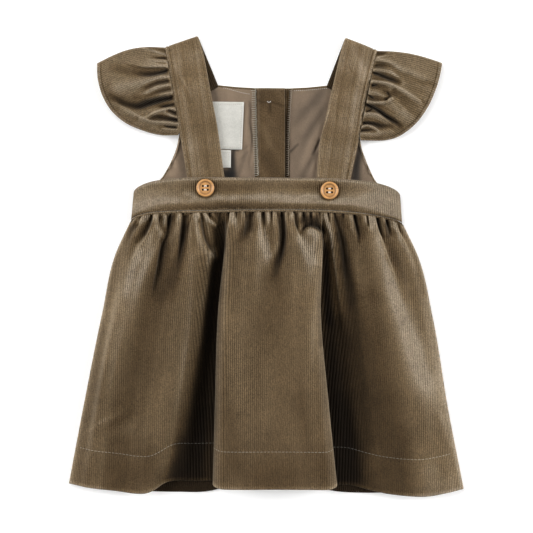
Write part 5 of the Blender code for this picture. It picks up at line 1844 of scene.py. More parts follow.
    def build_facing(self, side: Side) -> None:
        """Make one corduroy facing of the centre opening; the left one folds down at the edge of the lap.

        Args:
            side: Which one.
        """
        on_left = side is Side.LEFT
        last = self.facing_to[0 if on_left else 1]
        if on_left:
            climbing, level = np.linspace(self.climb, self.crest, 12), np.linspace(self.crest, last, 34)
            x = np.concatenate([climbing, level[1:]])
        else:
            x = np.linspace(self.right_edge, last, 24)
        plan = self.panel(x, x, self.neck_showing)
        points = raised(plan, 2.5 + (self.lifted(plan[..., 0]) if on_left else 0.0))
        fold = self.fold if on_left else ()
        folded = [(points[:, -1] * (0, 1, 1) + (at, 0.0, fall))[:, None] for at, fall in fold]
        points = np.concatenate([points, *folded], axis=1)
        plan = points[..., :2]
        seam_y = np.interp(plan[..., 0], (-9.0, 4.0, 16.0), (140.2, 139.4, 135.2))
        points[..., 2] -= 0.45 * bell(plan[..., 1], seam_y, 0.9)
        points[..., 2] += Crease((0, -0.6, 0), (1.0, 1.2), [(3.5, 143.5), (3.0, 122.0)]).on(plan)
        net = Net(points, arc(points, 1), -plan[..., 1])
        # painted shadow where the right facing lies under the lap; the whole facing is drawn darker, with an
        # uneven tone
        hidden = 0.0
        if not on_left:
            hidden = 1.7 * ease(last, 18.6, plan[..., 0]) * ease(140.0, 121.0, plan[..., 1])
        uneven = 0.12 * ripple(plan[..., 0] + 0.6 * plan[..., 1], 71, (11.0, 17.0, 29.0))
        net.shade = 2.0 ** (-0.9 - hidden + uneven + relief(plan, self.facing_tones))
        name = f"facing_{side.value}_cloth"
        facing = add_piece(name, net, CORDUROY_FINE, Slot.CORDUROY, f"facing_{side.value}")
        thicken(facing, 0.8)
        sewn = [self.overlock(side)]
        if on_left:
            sewn.append(self.knot())

    def overlock(self, side: Side) -> bpy.types.Object:
        """Sew the overlocked edge of a facing with a looping thread.

        Args:
            side: The facing's.

        Returns:
            The piece.
        """
        if side is Side.LEFT:
            middle, reach, top = [(-10.6, 150.2), (-9.6, 112.0), (-8.2, 76.0)], 1.9, 2.75
        else:
            middle, reach, top = [(21.0, 150.2), (19.6, 132.0), (18.6, 110.0), (18.2, 76.0)], 1.1, 2.8
        dense, length = along(middle, samples=60)
        pitch = 1.9
        count = int(length[-1] / pitch)
        turn = np.linspace(0.0, count, count * 8 + 1)
        at = turn * pitch
        x, y = (np.interp(at, length, dense[:, axis]) for axis in (0, 1))
        x = x + reach * np.sin(2 * math.pi * turn) * (1 + 0.16 * ripple(at, 31, (5.0, 8.5)))
        y = y + 0.5 * np.cos(2 * math.pi * turn)
        rest = top + (self.lifted(x) if side is Side.LEFT else 0.0)
        loops = tube(np.stack([x, y, rest + 0.25 * np.abs(np.cos(math.pi * turn))], -1), 0.27, 5)
        name = f"overlock_{side.value}"
        # the right overlock, in the shadow of the lap, is drawn in the darker brown thread: painted shade
        return add_piece(name, joined([loops], name), THREAD_PALE if side is Side.LEFT else THREAD_BROWN)

    def knot(self) -> bpy.types.Object:
        """Sew the cross of thread that holds the hidden back button."""
        bars = ((0.6, 139.9, 5.6), (2.9, 137.6, 5.7)), ((4.0, 140.0, 5.6), (2.3, 138.0, 5.75))
        return KNOT.sew("back_button_thread", *(np.linspace(*bar, 8) for bar in bars))

    def build(self) -> None:
        """Make both halves of the bodice."""
        for side in Side:
            self.build_back(side)
            self.build_lining(side)
            self.build_facing(side)


@dataclass(frozen=True)
class Labels:
    """The woven label and the size tag, both bare.

    Attributes:
        main: Corners of the label, from its lower left.
        size: Corners of the tag.
        height: Of their faces.
    """

    main: Corners = ((-53.8, 99.1), (-20.6, 98.5), (-18.9, 139.1), (-52.9, 139.5))
    size: Corners = ((-45.3, 83.2), (-30.2, 83.2), (-30.0, 98.1), (-45.3, 98.2))
    height: float = 3.5

    def build_one(self, name: str, corners: Corners, inset: float, curl: float) -> None:
        """Make one label, with its edges folded under and its stitching.

        Args:
            name: The piece's name.
            corners: Of the label, from its lower left.
            inset: How far the stitching lies from the edges.
            curl: How far its lower right corner lifts.
        """
        a, b, c, d = np.array(corners)
        share = np.linspace(0.0, 1.0, 30)
        u, v = (grid[..., None] for grid in np.meshgrid(share, share[::-1]))
        plan = (1 - v) * ((1 - u) * a + u * b) + v * ((1 - u) * d + u * c)
        edge_share = np.minimum(np.minimum(u, 1 - u), np.minimum(v, 1 - v))[..., 0]
        height = self.height - 0.25 * (1 - ease(0.0, 0.05, edge_share))
        height = height + curl * (u[..., 0] ** 3) * (1 - v[..., 0])
        height = height + 0.07 * ripple(plan[..., 1] + 0.3 * plan[..., 0], 15, (9.0, 15.0))
        net = Net(raised(plan, height), plan[..., 0], -plan[..., 1])
        label = add_piece(name, net, LABEL, Slot.LABEL, name.removesuffix("_cloth"))
        thicken(label, 0.45)
        middle = (a + b + c + d) / 4
        corners_in = [p + (middle - p) * (inset / np.abs(middle - p).max()) * 1.4 for p in (a, b, c, d, a)]
        line = np.concatenate([np.linspace(p, q, 20) for p, q in zip(corners_in[:-1], corners_in[1:])])
        sewn = LABEL_STITCH.sew(f"{name}_stitches", raised(line, self.height + 0.1))

    def build(self) -> None:
        """Make both."""
        self.build_one("label_main_cloth", self.main, 1.5, 0.0)
        self.build_one("label_size_cloth", self.size, 1.2, 0.5)


# ---------------------------------------------------------------- straps and flutter sleeves


@dataclass(frozen=True)
class Strap:
    """One strap, from the back neck over the shoulder fold and down behind the waistband.

    Attributes:
        side: Which one.
        back: Its outer and inner corner at the bodice.
        outer: Its outer edge from the fold down.
        inner: Its inner edge.
        rest: The height of its inner face on the bodice.
        tones: Painted highlights and shadows on its face, where 1 is twice as light.
        thick: Of its two layers together.
        bend: Inside radius of the shoulder fold.
        seam: How far its outer seam lies from the edge.
    """

    side: Side
    back: Points
    outer: Points
    inner: Points
    rest: float
    tones: tuple[Crease, ...]
    thick: float = 2.0
    bend: float = 0.4
    seam: float = 2.3

    def low(self, share: ArrayLike) -> np.ndarray:
        """The height of the inner face at a share of the front part."""
        start = 2.1 + 2 * self.bend
        return start + (self.rest - start) * ease(0.1, 0.45, share)

    def ribbon(self) -> tuple[np.ndarray, np.ndarray, np.ndarray]:
        """The ribbon that the strap is wrapped round, from the back neck to the foot.

        Returns:
            Its outer edge, its inner edge and the direction of its face, for each row.
        """
        folds = np.array(self.outer[0]), np.array(self.inner[0])
        facing = outward(*folds)
        pull = -facing * (2.1 + self.bend)
        half = self.thick / 2
        starts = [np.array(point) - facing * 1.0 for point in self.back]
        lows, highs, faces = [], [], []
        for share in np.linspace(0.0, 1.0, 12)[:-1]:
            ends = [start + (fold + pull - start) * share for start, fold in zip(starts, folds)]
            lows.append([*ends[0], half + 0.05])
            highs.append([*ends[1], half + 0.05])
            faces.append((0.0, 0.0, -1.0))
        radius = self.bend + half
        for turn in np.radians(np.linspace(-80, 80, 11)):
            away = np.array([*(facing * math.cos(turn)), math.sin(turn)])
            ends = [np.array([*(fold + pull), 2.1 + self.bend]) + away * radius for fold in folds]
            lows.append(ends[0])
            highs.append(ends[1])
            faces.append(away)
        edges = edge(self.outer), edge(self.inner)
        for share in np.linspace(0.0, 1.0, 110):
            ends = [line(share) + pull * (1 - share) ** 6 for line in edges]
            lows.append([*ends[0], self.low(share) + half])
            highs.append([*ends[1], self.low(share) + half])
            faces.append(UP)
        return np.array(lows), np.array(highs), np.array(faces)

    def lift(self, place: np.ndarray, width: np.ndarray, distance: np.ndarray) -> np.ndarray:
        """How far the strap's face stands up.

        Args:
            place: Across the strap from its outer edge, in mm.
            width: Of the strap, for each row.
            distance: Along the strap, for each row.

        Returns:
            The lift in mm.
        """
        groove = -0.6 * bell(place, self.seam, 0.45) + 0.30 * bell(place, 1.1, 0.9)
        rim = 0.18 * bell(width - place, 1.0, 0.8)
        pucker = 0.12 * ripple(distance, 21, (5.0, 8.0)) * bell(place, self.seam, 2.5)
        soft = 0.12 * ripple(distance + 0.7 * place, 22, (19.0, 33.0))
        return groove + rim + pucker + soft + 0.25 * np.sin(math.pi * place / width)

    def light(self, place: np.ndarray, width: np.ndarray, distance: np.ndarray) -> np.ndarray:
        """Painted light and shade on the strap's face, where 1 is twice as light: painted shade in the seam,
        painted highlights along the edges.

        Args:
            place: Across the strap from its outer edge, in mm.
            width: Of the strap, for each row.
            distance: Along the strap, for each row.

        Returns:
            The tone.
        """
        base = 0.02 if self.side is Side.LEFT else 0.18
        light = base - 1.3 * bell(place, self.seam, 0.45) + 0.5 * bell(place, 0.0, 0.7)
        light = light + 0.5 * bell(width - place, 0.0, 0.7) + 0.15 * ripple(distance, 61, (23.0, 41.0))
        light = light + 0.16 * ripple(place + 0.05 * distance, 62, (3.4, 5.5, 9.0))
        return light + 0.25 * ease(16.0, 4.0, place)

    def build(self) -> None:
        """Make the strap."""
        low, high, faces = self.ribbon()
        steps = 36
        width = np.linalg.norm(high - low, axis=1)[:, None]
        place = np.linspace(0.0, 1.0, steps)[None] * width
        distance = arc(low[:, None], 0)
        points = capped(strip(low, high, faces, self.thick, self.lift(place, width, distance)))
        tones = relief(points[1:-1, :steps, :2], self.tones)
        shade = np.ones(points.shape[:2])
        shade[1:-1, :steps] = 2.0 ** (self.light(place, width, distance) + tones)
        # painted shade on the strap's back part, up into the shoulder fold
        hidden = 16
        shade[:hidden] = 0.2
        if self.side is Side.RIGHT:
            points, shade = points[:, ::-1], shade[:, ::-1]
        across = arc(points, 1)
        down = np.broadcast_to(np.pad(distance, ((1, 1), (0, 0)), "edge"), across.shape)
        net = Net(points, across, down, shade, closed=True)
        name = f"strap_{self.side.value}"
        strap = add_piece(f"{name}_cloth", net, CORDUROY_FINE, Slot.CORDUROY, name)


@dataclass(frozen=True)
class Flutter:
    """One flutter sleeve, folded at the shoulder, its gathered front half lying on its back half.

    Attributes:
        strap: The strap that it is sewn to.
        seam_hem: Sections, each x, y at the strap and x, y at the hem, from the fold down.
        back_seam: Its seam on the hidden half, with the corner at the armhole.
        bow: How far the folded top edge bows up.
        creases: Its gathers, from the fold down.
        tones: Painted highlights and shadows, where 1 is twice as light.
        thick: Of the cloth.
        turn: Radius of the rolled hem.
        fold: Inside radius of the fold at its top.
    """

    strap: Strap
    seam_hem: Points
    back_seam: Points
    bow: float
    creases: tuple[Crease, ...]
    tones: tuple[Crease, ...]
    thick: float = 1.0
    turn: float = 0.85
    fold: float = 0.4

    def plan(self, down: np.ndarray, seam: np.ndarray, hem: np.ndarray, out: np.ndarray) -> np.ndarray:
        """Plan points of one half.

        Args:
            down: The rows' shares of the way down the strap.
            seam: The rows' ends at the strap.
            hem: The rows' ends at the hem.
            out: The columns' shares of the way out to the hem.

        Returns:
            Rows of x and y.
        """
        start = (seam - (self.strap.side.out * 1.2, 0.0))[:, None]
        plan = start * (1 - out[:, None]) + hem[:, None] * out[:, None]
        plan[..., 1] += self.bow * np.sin(math.pi * out) * (1 - down[:, None]) ** 3
        return plan

    def net(self) -> Net:
        """The whole flutter from its back half, over the fold, to the foot of its front half.

        Returns:
            Its net.
        """
        table = np.array(self.seam_hem)
        stations = np.linspace(0.0, 1.0, len(table))
        out = np.concatenate([np.linspace(0.0, 0.88, 62, endpoint=False), np.linspace(0.88, 1.0, 22)])
        down = np.linspace(0.0, 1.0, 200)
        sections = hermite(stations, table, down)
        front = self.plan(down, sections[:, :2], sections[:, 2:], out)
        facing = outward(front[0, 0], front[0, -1])
        outer = 1.4 + self.fold
        front = front - facing * outer * ((1 - down) ** 8)[:, None, None]
        a, b = down[:, None], out[None]
        wide = np.linalg.norm(sections[:, 2:] - sections[:, :2], axis=1)[:, None]
        hem_line = bell((1 - b) * wide, 2.6, 0.4) * ease(5.0, 9.0, wide)
        rise = self.rise(front, a, b, wide) - 0.5 * hem_line
        height = 2 * outer + (np.maximum(rise, 3.0) - 2 * outer) * ease(0.0, 0.13, a)
        # painted highlight at the hem's edge and painted shade along the line of the hem
        rims = 2.0 ** (0.4 * ease(0.97, 0.99, b) - 1.1 * hem_line)
        up = np.linspace(0.93, 0.0, 25)
        sections = hermite(stations, table, up)
        hem = sections[:, :2] * 0.07 + sections[:, 2:] * 0.93
        rear = self.plan(up, edge(self.back_seam[:2], self.back_seam[1:])(up), hem, out)
        rear = rear + (front[0] - rear) * ((1 - up) ** 6)[:, None, None]
        turned_face = [
            raised(front[0] + facing * outer * math.cos(turn), outer + outer * math.sin(turn))
            for turn in np.radians((-60, -30, 0, 30, 60))
        ]
        points = np.concatenate([raised(rear, 0.05), turned_face, raised(front, height)])
        rims = np.pad(rims, ((len(points) - len(rims), 0), (0, 0)), "edge")
        if self.strap.side is Side.LEFT:
            points, rims = points[:, ::-1], rims[:, ::-1]
        length = arc(points, 0)
        along_seam = np.broadcast_to(length[:, [length.shape[1] // 2]], length.shape)
        return Net(points, along_seam, arc(points, 1), self.shade(points) * rims)

    def rise(self, plan: np.ndarray, a: np.ndarray, b: np.ndarray, wide: np.ndarray) -> np.ndarray:
        """The height of the front half, without the line of its hem.

        Args:
            plan: Its x and y.
            a: Shares of the way down the strap.
            b: Shares of the way out to the hem.
            wide: How far the hem lies from the strap, in mm.

        Returns:
            The height in mm.
        """
        seam = self.strap.low(a * 0.62) + 1.5
        flat = seam + (4.1 - seam) * ease(0.0, 1.0, b)
        puff = 2.4 * np.sin(math.pi * b) ** 0.6 * ease(0.0, 0.3, a) * (1 - 0.6 * ease(0.65, 1.0, a))
        rise = flat + puff + relief(plan, self.creases) * ease(0.0, 0.04, b) * ease(3.0, 9.0, wide)
        return rise + 0.25 * ripple(a * 100, 44, (9.0, 16.0)) * ease(0.5, 1.0, b)

    def shade(self, points: np.ndarray) -> np.ndarray:
        """Painted shade between the gathers where the cloth closes in, with the painted highlights and
        shadows of its tones.
        """
        open_share = openness(points, 0, (2, 3, 6, 9, 13, 19))
        return (0.1 + 1.15 * open_share**2.6) * 2.0 ** relief(points[..., :2], self.tones)

    def build(self) -> None:
        """Make the flutter with its rolled hem and its stitches."""
        side = self.strap.side.value
        net = self.net()
        name = f"flutter_{side}"
        flutter = add_piece(f"{name}_cloth", self.hemmed(net), CORDUROY_LOOSE, Slot.CORDUROY, name)
        thicken(flutter, self.thick)
        from_hem = 4 if self.strap.side is Side.LEFT else -5
        past_fold = 34  # rows
        stitched = net.points[past_fold:, from_hem] + (0.0, 0.0, 0.12)
        sewn = FLUTTER_STITCH.sew(f"{name}_stitches", stitched)

    def hemmed(self, net: Net) -> Net:
        """Roll the hem.

        Args:
            net: The flutter's, with its hem along the first column on the left and the last on the right.

        Returns:
            The net with its columns as rows, and the hem turned under.
        """
        parts = (part.swapaxes(0, 1) for part in (net.points, net.across, net.down, net.shade))
        if self.strap.side is Side.LEFT:
            parts = (part[::-1] for part in parts)
        else:
            parts = (part[:, ::-1] for part in parts)
        return rolled(Net(*parts), self.turn, 4)


LEFT_STRAP = Strap(
    Side.LEFT,
    back=[(-67.6, 138.6), (-41.0, 153.5)],
    outer=[(-86.4, 185.6), (-81.5, 158.3), (-75.6, 126.0), (-72.7, 108.5), (-67.4, 75.8), (-66.0, 67.0)],
    inner=[(-58.1, 195.4), (-53.6, 180.0), (-46.9, 145.6), (-41.5, 117.3), (-35.7, 75.8), (-34.4, 67.0)],
    rest=4.2,
    # painted highlights and shadows on the left strap
    tones=creases(
        ((0.35, 0.4, 0.3, 0), 2, (-76.5, 169.5, -72.5, 159.5, -66.5, 149.5, -62.5, 140)),
        ((-0.3, -0.45, -0.3, 0), (1.4, 1.8), (-74, 159.5, -68, 147.5, -64, 138, -57, 135)),
        ((0.3, 0.3, 0.2), (4, 6), (-59.5, 179, -57, 158, -53, 141)),
        ((0.25, 0.3, 0.2), (5, 6), (-65, 115.5, -60.5, 94, -56.5, 79.5)),
        ((-0.25, -0.3, -0.25), 5, (-54, 107, -50.5, 90, -48.5, 79.5)),
        (-0.25, 5, (-63, 130.5, -58, 122)),
        ((-0.4, -0.4, -0.3), 1.8, (-52.5, 175, -47.5, 150, -44, 133)),
    ),
)
RIGHT_STRAP = Strap(
    Side.RIGHT,
    back=[(77.1, 140.8), (51.6, 153.1)],
    outer=[(94.7, 183.0), (90.2, 164.5), (84.3, 139.6), (79.4, 110.2), (71.9, 74.0), (70.5, 66.0)],
    inner=[(67.3, 194.0), (63.4, 180.8), (56.6, 152.6), (50.2, 124.4), (45.3, 102.7), (42.4, 66.0)],
    rest=2.9,
    # painted highlights and shadows on the right strap
    tones=creases(
        ((0.3, 0.35, 0.2), (3, 4), (73, 186.5, 80.5, 169.5, 84, 158)),
        ((-0.3, -0.4, 0), (1, 1.4), (69.5, 169.5, 73.5, 164.5, 79.5, 159.5)),
        ((0.3, 0.3, 0.1), (3, 4), (81.5, 159.5, 76.5, 141, 73, 119.5)),
        ((-0.15, -0.2), 7, (61, 98.5, 57.5, 79.5)),
        ((-0.25, -0.25, -0.2), (5, 6), (64.5, 158, 61, 136.5, 54, 119.5)),
        (0.2, 5, (54, 141, 51, 125.5)),
    ),
)
LEFT_GATHERS = creases(
    ((0.8, 0.8, 0.3), (1.2, 1.4), (-85, 179.5, -97, 183, -105.5, 185.5)),
    ((-1.2, -1, 0), (1.2, 1.4), (-84.5, 176, -94.5, 176, -102, 177.5)),
    ((1.4, 1.2, 0), (1.6, 2.2), (-84.5, 173, -93, 174, -103, 174.5)),
    ((2.2, 2.4, 1.8, 0.6), (2.2, 4), (-83.5, 169, -92, 169, -101.5, 169, -116, 171.5), Side.RIGHT),
    ((-2, -2, -1.2, 0), (1.2, 2.6), (-83.5, 166, -90.5, 163.5, -99, 162, -116, 164)),
    ((2.2, 2.4, 2.2, 1.8, 1.2), (2, 6), (-83.5, 160.5, -94.5, 159.5, -103, 156.5, -113.5, 153.5, -126, 151)),
    ((-0.8, -0.8, -0.6, 0), (1, 2), (-83.5, 156.5, -93, 155, -101.5, 152, -108, 151)),
    ((2, 2.2, 2, 0.6), (1.8, 2.4), (-82.5, 153.5, -92, 151.5, -100.5, 147.5, -106.5, 145)),
    ((-0.8, -0.8, 0), (0.9, 1), (-82, 149.5, -88, 148.5, -93.5, 146.5)),
    ((1.8, 2, 1.4, 0.5), (1.8, 2.4), (-81, 146.5, -88.5, 145, -99, 142.5, -109, 140), Side.RIGHT),
    ((-2.2, -3.2, -3.4, -3, -2.2, -1.4, -0.6), (1.8, 3.4),
     (-80, 142.5, -90.5, 140.5, -100.5, 137.5, -109, 135, -118.5, 137, -127, 141.5, -134.5, 146.5)),
    ((-1.6, -1.6, 0), 1.2, (-78.5, 137, -87, 135, -92, 135)),
    ((1.6, 2, 2, 2.2, 2, 1.2), (1.2, 2.2),
     (-78, 132.5, -82.5, 133.5, -86.5, 132.5, -95.5, 129.5, -100, 126.5, -107.5, 124.5), Side.LEFT),
    ((1.6, 1.8, 1.6, 0.6), (1.4, 1.6), (-76.5, 125.5, -80.5, 127, -83.5, 129, -86.5, 130.5), Side.RIGHT),
    ((-1.4, -0.8), 1.2, (-77.5, 129.5, -82, 131)),
    ((-2, -1.8, -1.6, -0.6), (1.4, 2), (-76, 124, -83.5, 124.5, -92, 126, -98, 126)),
    ((1.8, 2, 2, 2, 1.8, 1.2), (1.6, 2.4),
     (-75, 120.5, -86, 121.5, -97, 122.5, -107.5, 126, -117.5, 131.5, -128.5, 138), Side.LEFT),
    ((-1.8, -1.8, -0.8), 0.8, (-77, 117.5, -82, 118, -86.5, 118.5)),
    ((0.8, 1, 0.5), 0.9, (-76.5, 115.5, -82, 115.5, -88.5, 116.5)),
)
# painted highlights and shadows on the left flutter's gathers
LEFT_FLUTTER_PAINTED_LIGHT = creases(
    ((-0.5, -0.5, -0.4), (1, 1.2), (-85, 182, -94.5, 185, -102, 187)),
    ((0.8, 0.9, 0.6), (1, 1.2), (-86, 179, -97, 183, -105, 185)),
    ((-1.4, -1.2, 0), (1.2, 1.5), (-83.5, 176, -90.5, 176, -99, 177)),
    ((0.6, 0.6, 0.2), (1.8, 2), (-84.5, 173, -93, 173.5, -102, 174)),
    ((0.5, 0.5, 0.2), (2.5, 3.5), (-83.5, 169.5, -93, 169, -103, 170)),
    ((-1.8, -1.8, -0.9, 0), (1.2, 3.5), (-83.5, 166.5, -90.5, 163.5, -99, 162, -116, 164)),
    ((0.5, 0.6, 0.5, 0.5, 0.5), (2, 5.5),
     (-84.5, 160.5, -94.5, 159.5, -103, 156.5, -113.5, 153.5, -126, 151)),
    ((-0.6, -0.4, -0.3, 0), (1.2, 2.4), (-85, 157, -93.5, 155, -102, 152, -109, 151.5)),
    ((0.6, 0.7, 0.6, 0.3), (2, 2.6), (-83.5, 158.5, -92, 158, -101.5, 153.5, -110.5, 146.5)),
    ((-0.6, -0.7, -0.6, -0.5, -0.4), 2.6, (-85, 142.5, -99, 141, -111.5, 137.5, -124.5, 138, -134.5, 143.5)),
    ((-0.5, -0.6), 3.4, (-113.5, 164.5, -126, 168)),
    (-0.4, 2, (-100.5, 185.5, -87, 183.5)),
    ((0.6, 0.7, 0.5), (1.6, 2), (-83.5, 153.5, -92, 151.5, -101.5, 147)),
    ((0.5, 0.6, 0.3), (1.9, 2.2), (-83.5, 167, -94.5, 167.5, -106.5, 167)),
    ((0.6, 0.7, 0.4), (2.2, 2.5), (-82, 150, -93.5, 150, -105.5, 146.5)),
    ((-0.45, -0.5, -0.4), (2.5, 3.1), (-97, 162, -111.5, 163, -131, 168)),
    ((-0.6, -0.7, -0.5), (2.2, 2.5), (-85, 136.5, -103, 140, -126, 142.5)),
    (-0.5, 1.7, (-92, 143.5, -112.5, 143.5)),
    ((0.6, 0.6, 0.2), (1.8, 2), (-81, 147.5, -88, 145.5, -97, 143.5)),
    (-2, 0.8, (-79.5, 144, -81, 143.5)),
    ((-1.6, -2.6, -2.6, -2.4, -1.6, -1.2, -0.4), (1.8, 3.2),
     (-81, 142.5, -90.5, 140.5, -100.5, 137.5, -109, 135, -118.5, 137, -127, 141.5, -134.5, 146.5)),
    ((-1.6, -1.8, -0.8), (1, 1.3), (-78.5, 136, -84.5, 135, -90.5, 135)),
    ((0.8, 0.9, 0.7, 0.7, 0.6), (1, 1.6),
     (-78, 132.5, -82.5, 133.5, -86.5, 132.5, -95.5, 129.5, -100, 126.5)),
    (-0.8, (1.6, 1.4), (-77.5, 130, -82.5, 131)),
    ((0.7, 0.8, 0.6), (1.2, 1.4), (-76.5, 125.5, -82, 128, -86, 130.5)),
    ((-1.8, -1.2, -1, -0.5), (1.3, 2.4), (-76.5, 123.5, -83.5, 125, -92, 126.5, -98, 126)),
    ((-1.5, -1), 0.7, (-76.5, 123, -86, 123.5)),
    ((0.7, 0.7, 0.7, 0.6, 0.5, 0.4), (1.3, 1.8),
     (-75, 120.5, -86, 121.5, -97, 122.5, -107.5, 126, -117.5, 131.5, -128.5, 138)),
    ((-2.2, -2.2, -1.6), 0.6, (-77.5, 117.5, -82, 117.5, -86, 118.5)),
    ((1, 1, 0.8), 0.6, (-76.5, 115.5, -82, 116, -88, 116.5)),
)
RIGHT_GATHERS = creases(
    ((-2, -2, -0.6), 1.6, (94, 180.5, 100, 180.5, 104.5, 182)),
    ((0.8, 1, 0.5), 0.9, (94.5, 177, 100.5, 178.5, 104.5, 181)),
    ((1.4, 1.6, 1.4, 1.2, 1, 0.6), (1.6, 3),
     (92.5, 175.5, 100, 174, 107, 171.5, 115, 167, 122.5, 164.5, 134.5, 159)),
    ((-1.4, -1.6, -0.4), (1.8, 2), (91, 169.5, 96.5, 170, 104.5, 169)),
    ((1.4, 1.4, 0.6), (1.4, 1.8), (90.5, 166.5, 101, 165, 111, 161)),
    ((-2, -2.4, -2.2, -1), (1.2, 2), (90.5, 164, 95.5, 162.5, 104, 159, 112.5, 156)),
    ((2, 2.4, 2.4, 2.2, 1.8, 1.2), (1.8, 3),
     (90, 156.5, 102, 155, 110, 152, 117.5, 148, 125, 143, 130.5, 139.5), Side.RIGHT),
    ((-1.8, -0.8), 1, (90.5, 153, 93.5, 153.5)),
    ((1.8, 2.2, 1.2), (2.6, 3), (88, 147.5, 94, 146.5, 99, 144)),
    ((-1.4, -1.8, -1.6), 1.4, (103.5, 146.5, 105, 144, 102.5, 141)),
    ((-1.8, -1.6), 0.8, (86, 145.5, 90.5, 142.5)),
    ((2, 2.4, 2.4, 1.8), 1.4, (84.5, 140, 92.5, 138.5, 102, 139, 106.5, 142), Side.RIGHT),
    ((1.6, 1.8, 0.8), (3, 4), (106, 141.5, 117.5, 129, 122.5, 124)),
    ((-2.4, -3, -3.2, -3, -2.4, -1), (1.2, 2.2),
     (84.5, 137, 90, 135, 97, 130.5, 102, 126.5, 110, 122, 115, 118)),
    ((-1.2, -1.4, -1), 0.9, (89, 135, 89.5, 132.5, 85.5, 130.5)),
    ((2, 2.4, 2, 1), (2.2, 2.6), (83.5, 129, 92.5, 128.5, 99, 125.5, 103, 123), Side.RIGHT),
    ((-2.2, -2.4, -1.8, -0.8), (1.2, 2.4), (83, 121, 90, 120.5, 98.5, 118.5, 106, 118)),
    ((1.6, 1.8, 1.8, 1.4, 0.6), (1, 1.2),
     (81.5, 117.5, 85.5, 119, 90.5, 117.5, 94, 115.5, 96, 112.5), Side.RIGHT),
    ((-1.2, -1.2, -0.4), (0.9, 1), (81, 114.5, 85.5, 115, 90.5, 115.5)),
    ((1.2, 1.2, 1, 0.6), (1.4, 2.2), (80.5, 112.5, 88, 112, 96.5, 112.5, 106, 113.5)),
)
# painted highlights and shadows on the right flutter's gathers
RIGHT_FLUTTER_PAINTED_LIGHT = creases(
    ((-2.2, -2.2, -0.8), (1.8, 1.6), (94.5, 180.5, 100, 180.5, 104, 181.5)),
    ((0.9, 1, 0.6), 0.8, (95, 177, 100.5, 178.5, 104.5, 181)),
    ((0.5, 0.5, 0.5, 0.4, 0.4, 0.3), (1.6, 3),
     (92.5, 175.5, 100, 174, 107, 171.5, 115, 167, 122.5, 164.5, 134.5, 159)),
    ((-0.5, -0.6, -0.2), (2, 2.4), (91.5, 169.5, 96.5, 170, 104.5, 169)),
    ((0.6, 0.7, 0.4), (1.7, 2), (96, 170.5, 103.5, 168, 112, 159.5)),
    (0.4, 1.7, (97.5, 149.5, 112, 141)),
    (-0.6, 1.5, (106, 142.5, 114.5, 132.5)),
    ((-0.3, -0.35, -0.3), (4.2, 5.1), (101, 111, 118, 114.5, 132.5, 125.5)),
    ((0.6, 0.7, 0.4), (2, 2.6), (93.5, 171.5, 102, 169.5, 112, 166.5)),
    ((0.6, 0.6, 0.4), (1.8, 2.6), (96.5, 163, 105, 160.5, 115.5, 156)),
    ((0.4, 0.4, 0), (1.4, 1.8), (90.5, 166.5, 101, 165, 111, 161)),
    ((-1.4, -1.9, -1.8, -0.8), (1.1, 2), (90.5, 164, 95.5, 162.5, 104, 159, 112.5, 155.5)),
    ((0.7, 0.8, 0.8, 0.7, 0.6, 0.3), (1.2, 2.2),
     (90, 156.5, 102, 155, 110, 152, 117.5, 148, 125, 143, 130.5, 139.5)),
    ((-2.2, -1.2), 1, (90.5, 153, 93.5, 153.5)),
    ((0.4, 0.5, 0.2), (2.4, 3), (88, 147.5, 94, 146.5, 99, 144)),
    ((-0.9, -1.3, -1.2), (1.5, 1.7), (100, 148.5, 105, 144.5, 102, 140.5)),
    ((-2.2, -2), 0.7, (86, 145.5, 90.5, 142.5)),
    ((0.7, 0.8, 0.8, 0.8), (1, 1.1), (84.5, 140, 92.5, 138.5, 102, 139, 106.5, 142)),
    ((0.5, 0.6, 0.3), (3, 4), (106, 141, 117.5, 129, 122.5, 124)),
    ((-2.2, -2.4, -2.2, -2, -1.6, -0.8), (1.1, 2.4),
     (84.5, 137, 90, 135, 97, 130.5, 102, 126.5, 110, 122, 115, 118)),
    ((-1.3, -1.5, -1.2), 0.8, (88.5, 135, 89, 132.5, 85.5, 130.5)),
    ((0.7, 0.8, 0.6, 0.3), (2, 2.4), (83.5, 129, 92.5, 128.5, 99, 125.5, 103, 123)),
    ((-2, -1.8, -1.3, -0.6), (1.2, 2.6), (83, 121, 90, 120.5, 98.5, 118.5, 106, 118)),
    ((0.9, 0.9, 0.9, 0.7), (0.7, 1), (81.5, 117.5, 85.5, 119, 90.5, 117.5, 95, 114.5)),
    ((-1.2, -1.4, -0.6), 0.9, (81, 114.5, 85.5, 115, 90.5, 115.5)),
    ((0.6, 0.6, 0.5, 0.4), (1.2, 2.2), (80.5, 112.5, 88, 112, 96.5, 112.5, 106, 113.5)),
    ((-0.8, -0.8, -0.6), 0.7, (80.5, 109, 90, 108.5, 99, 109.5)),
)
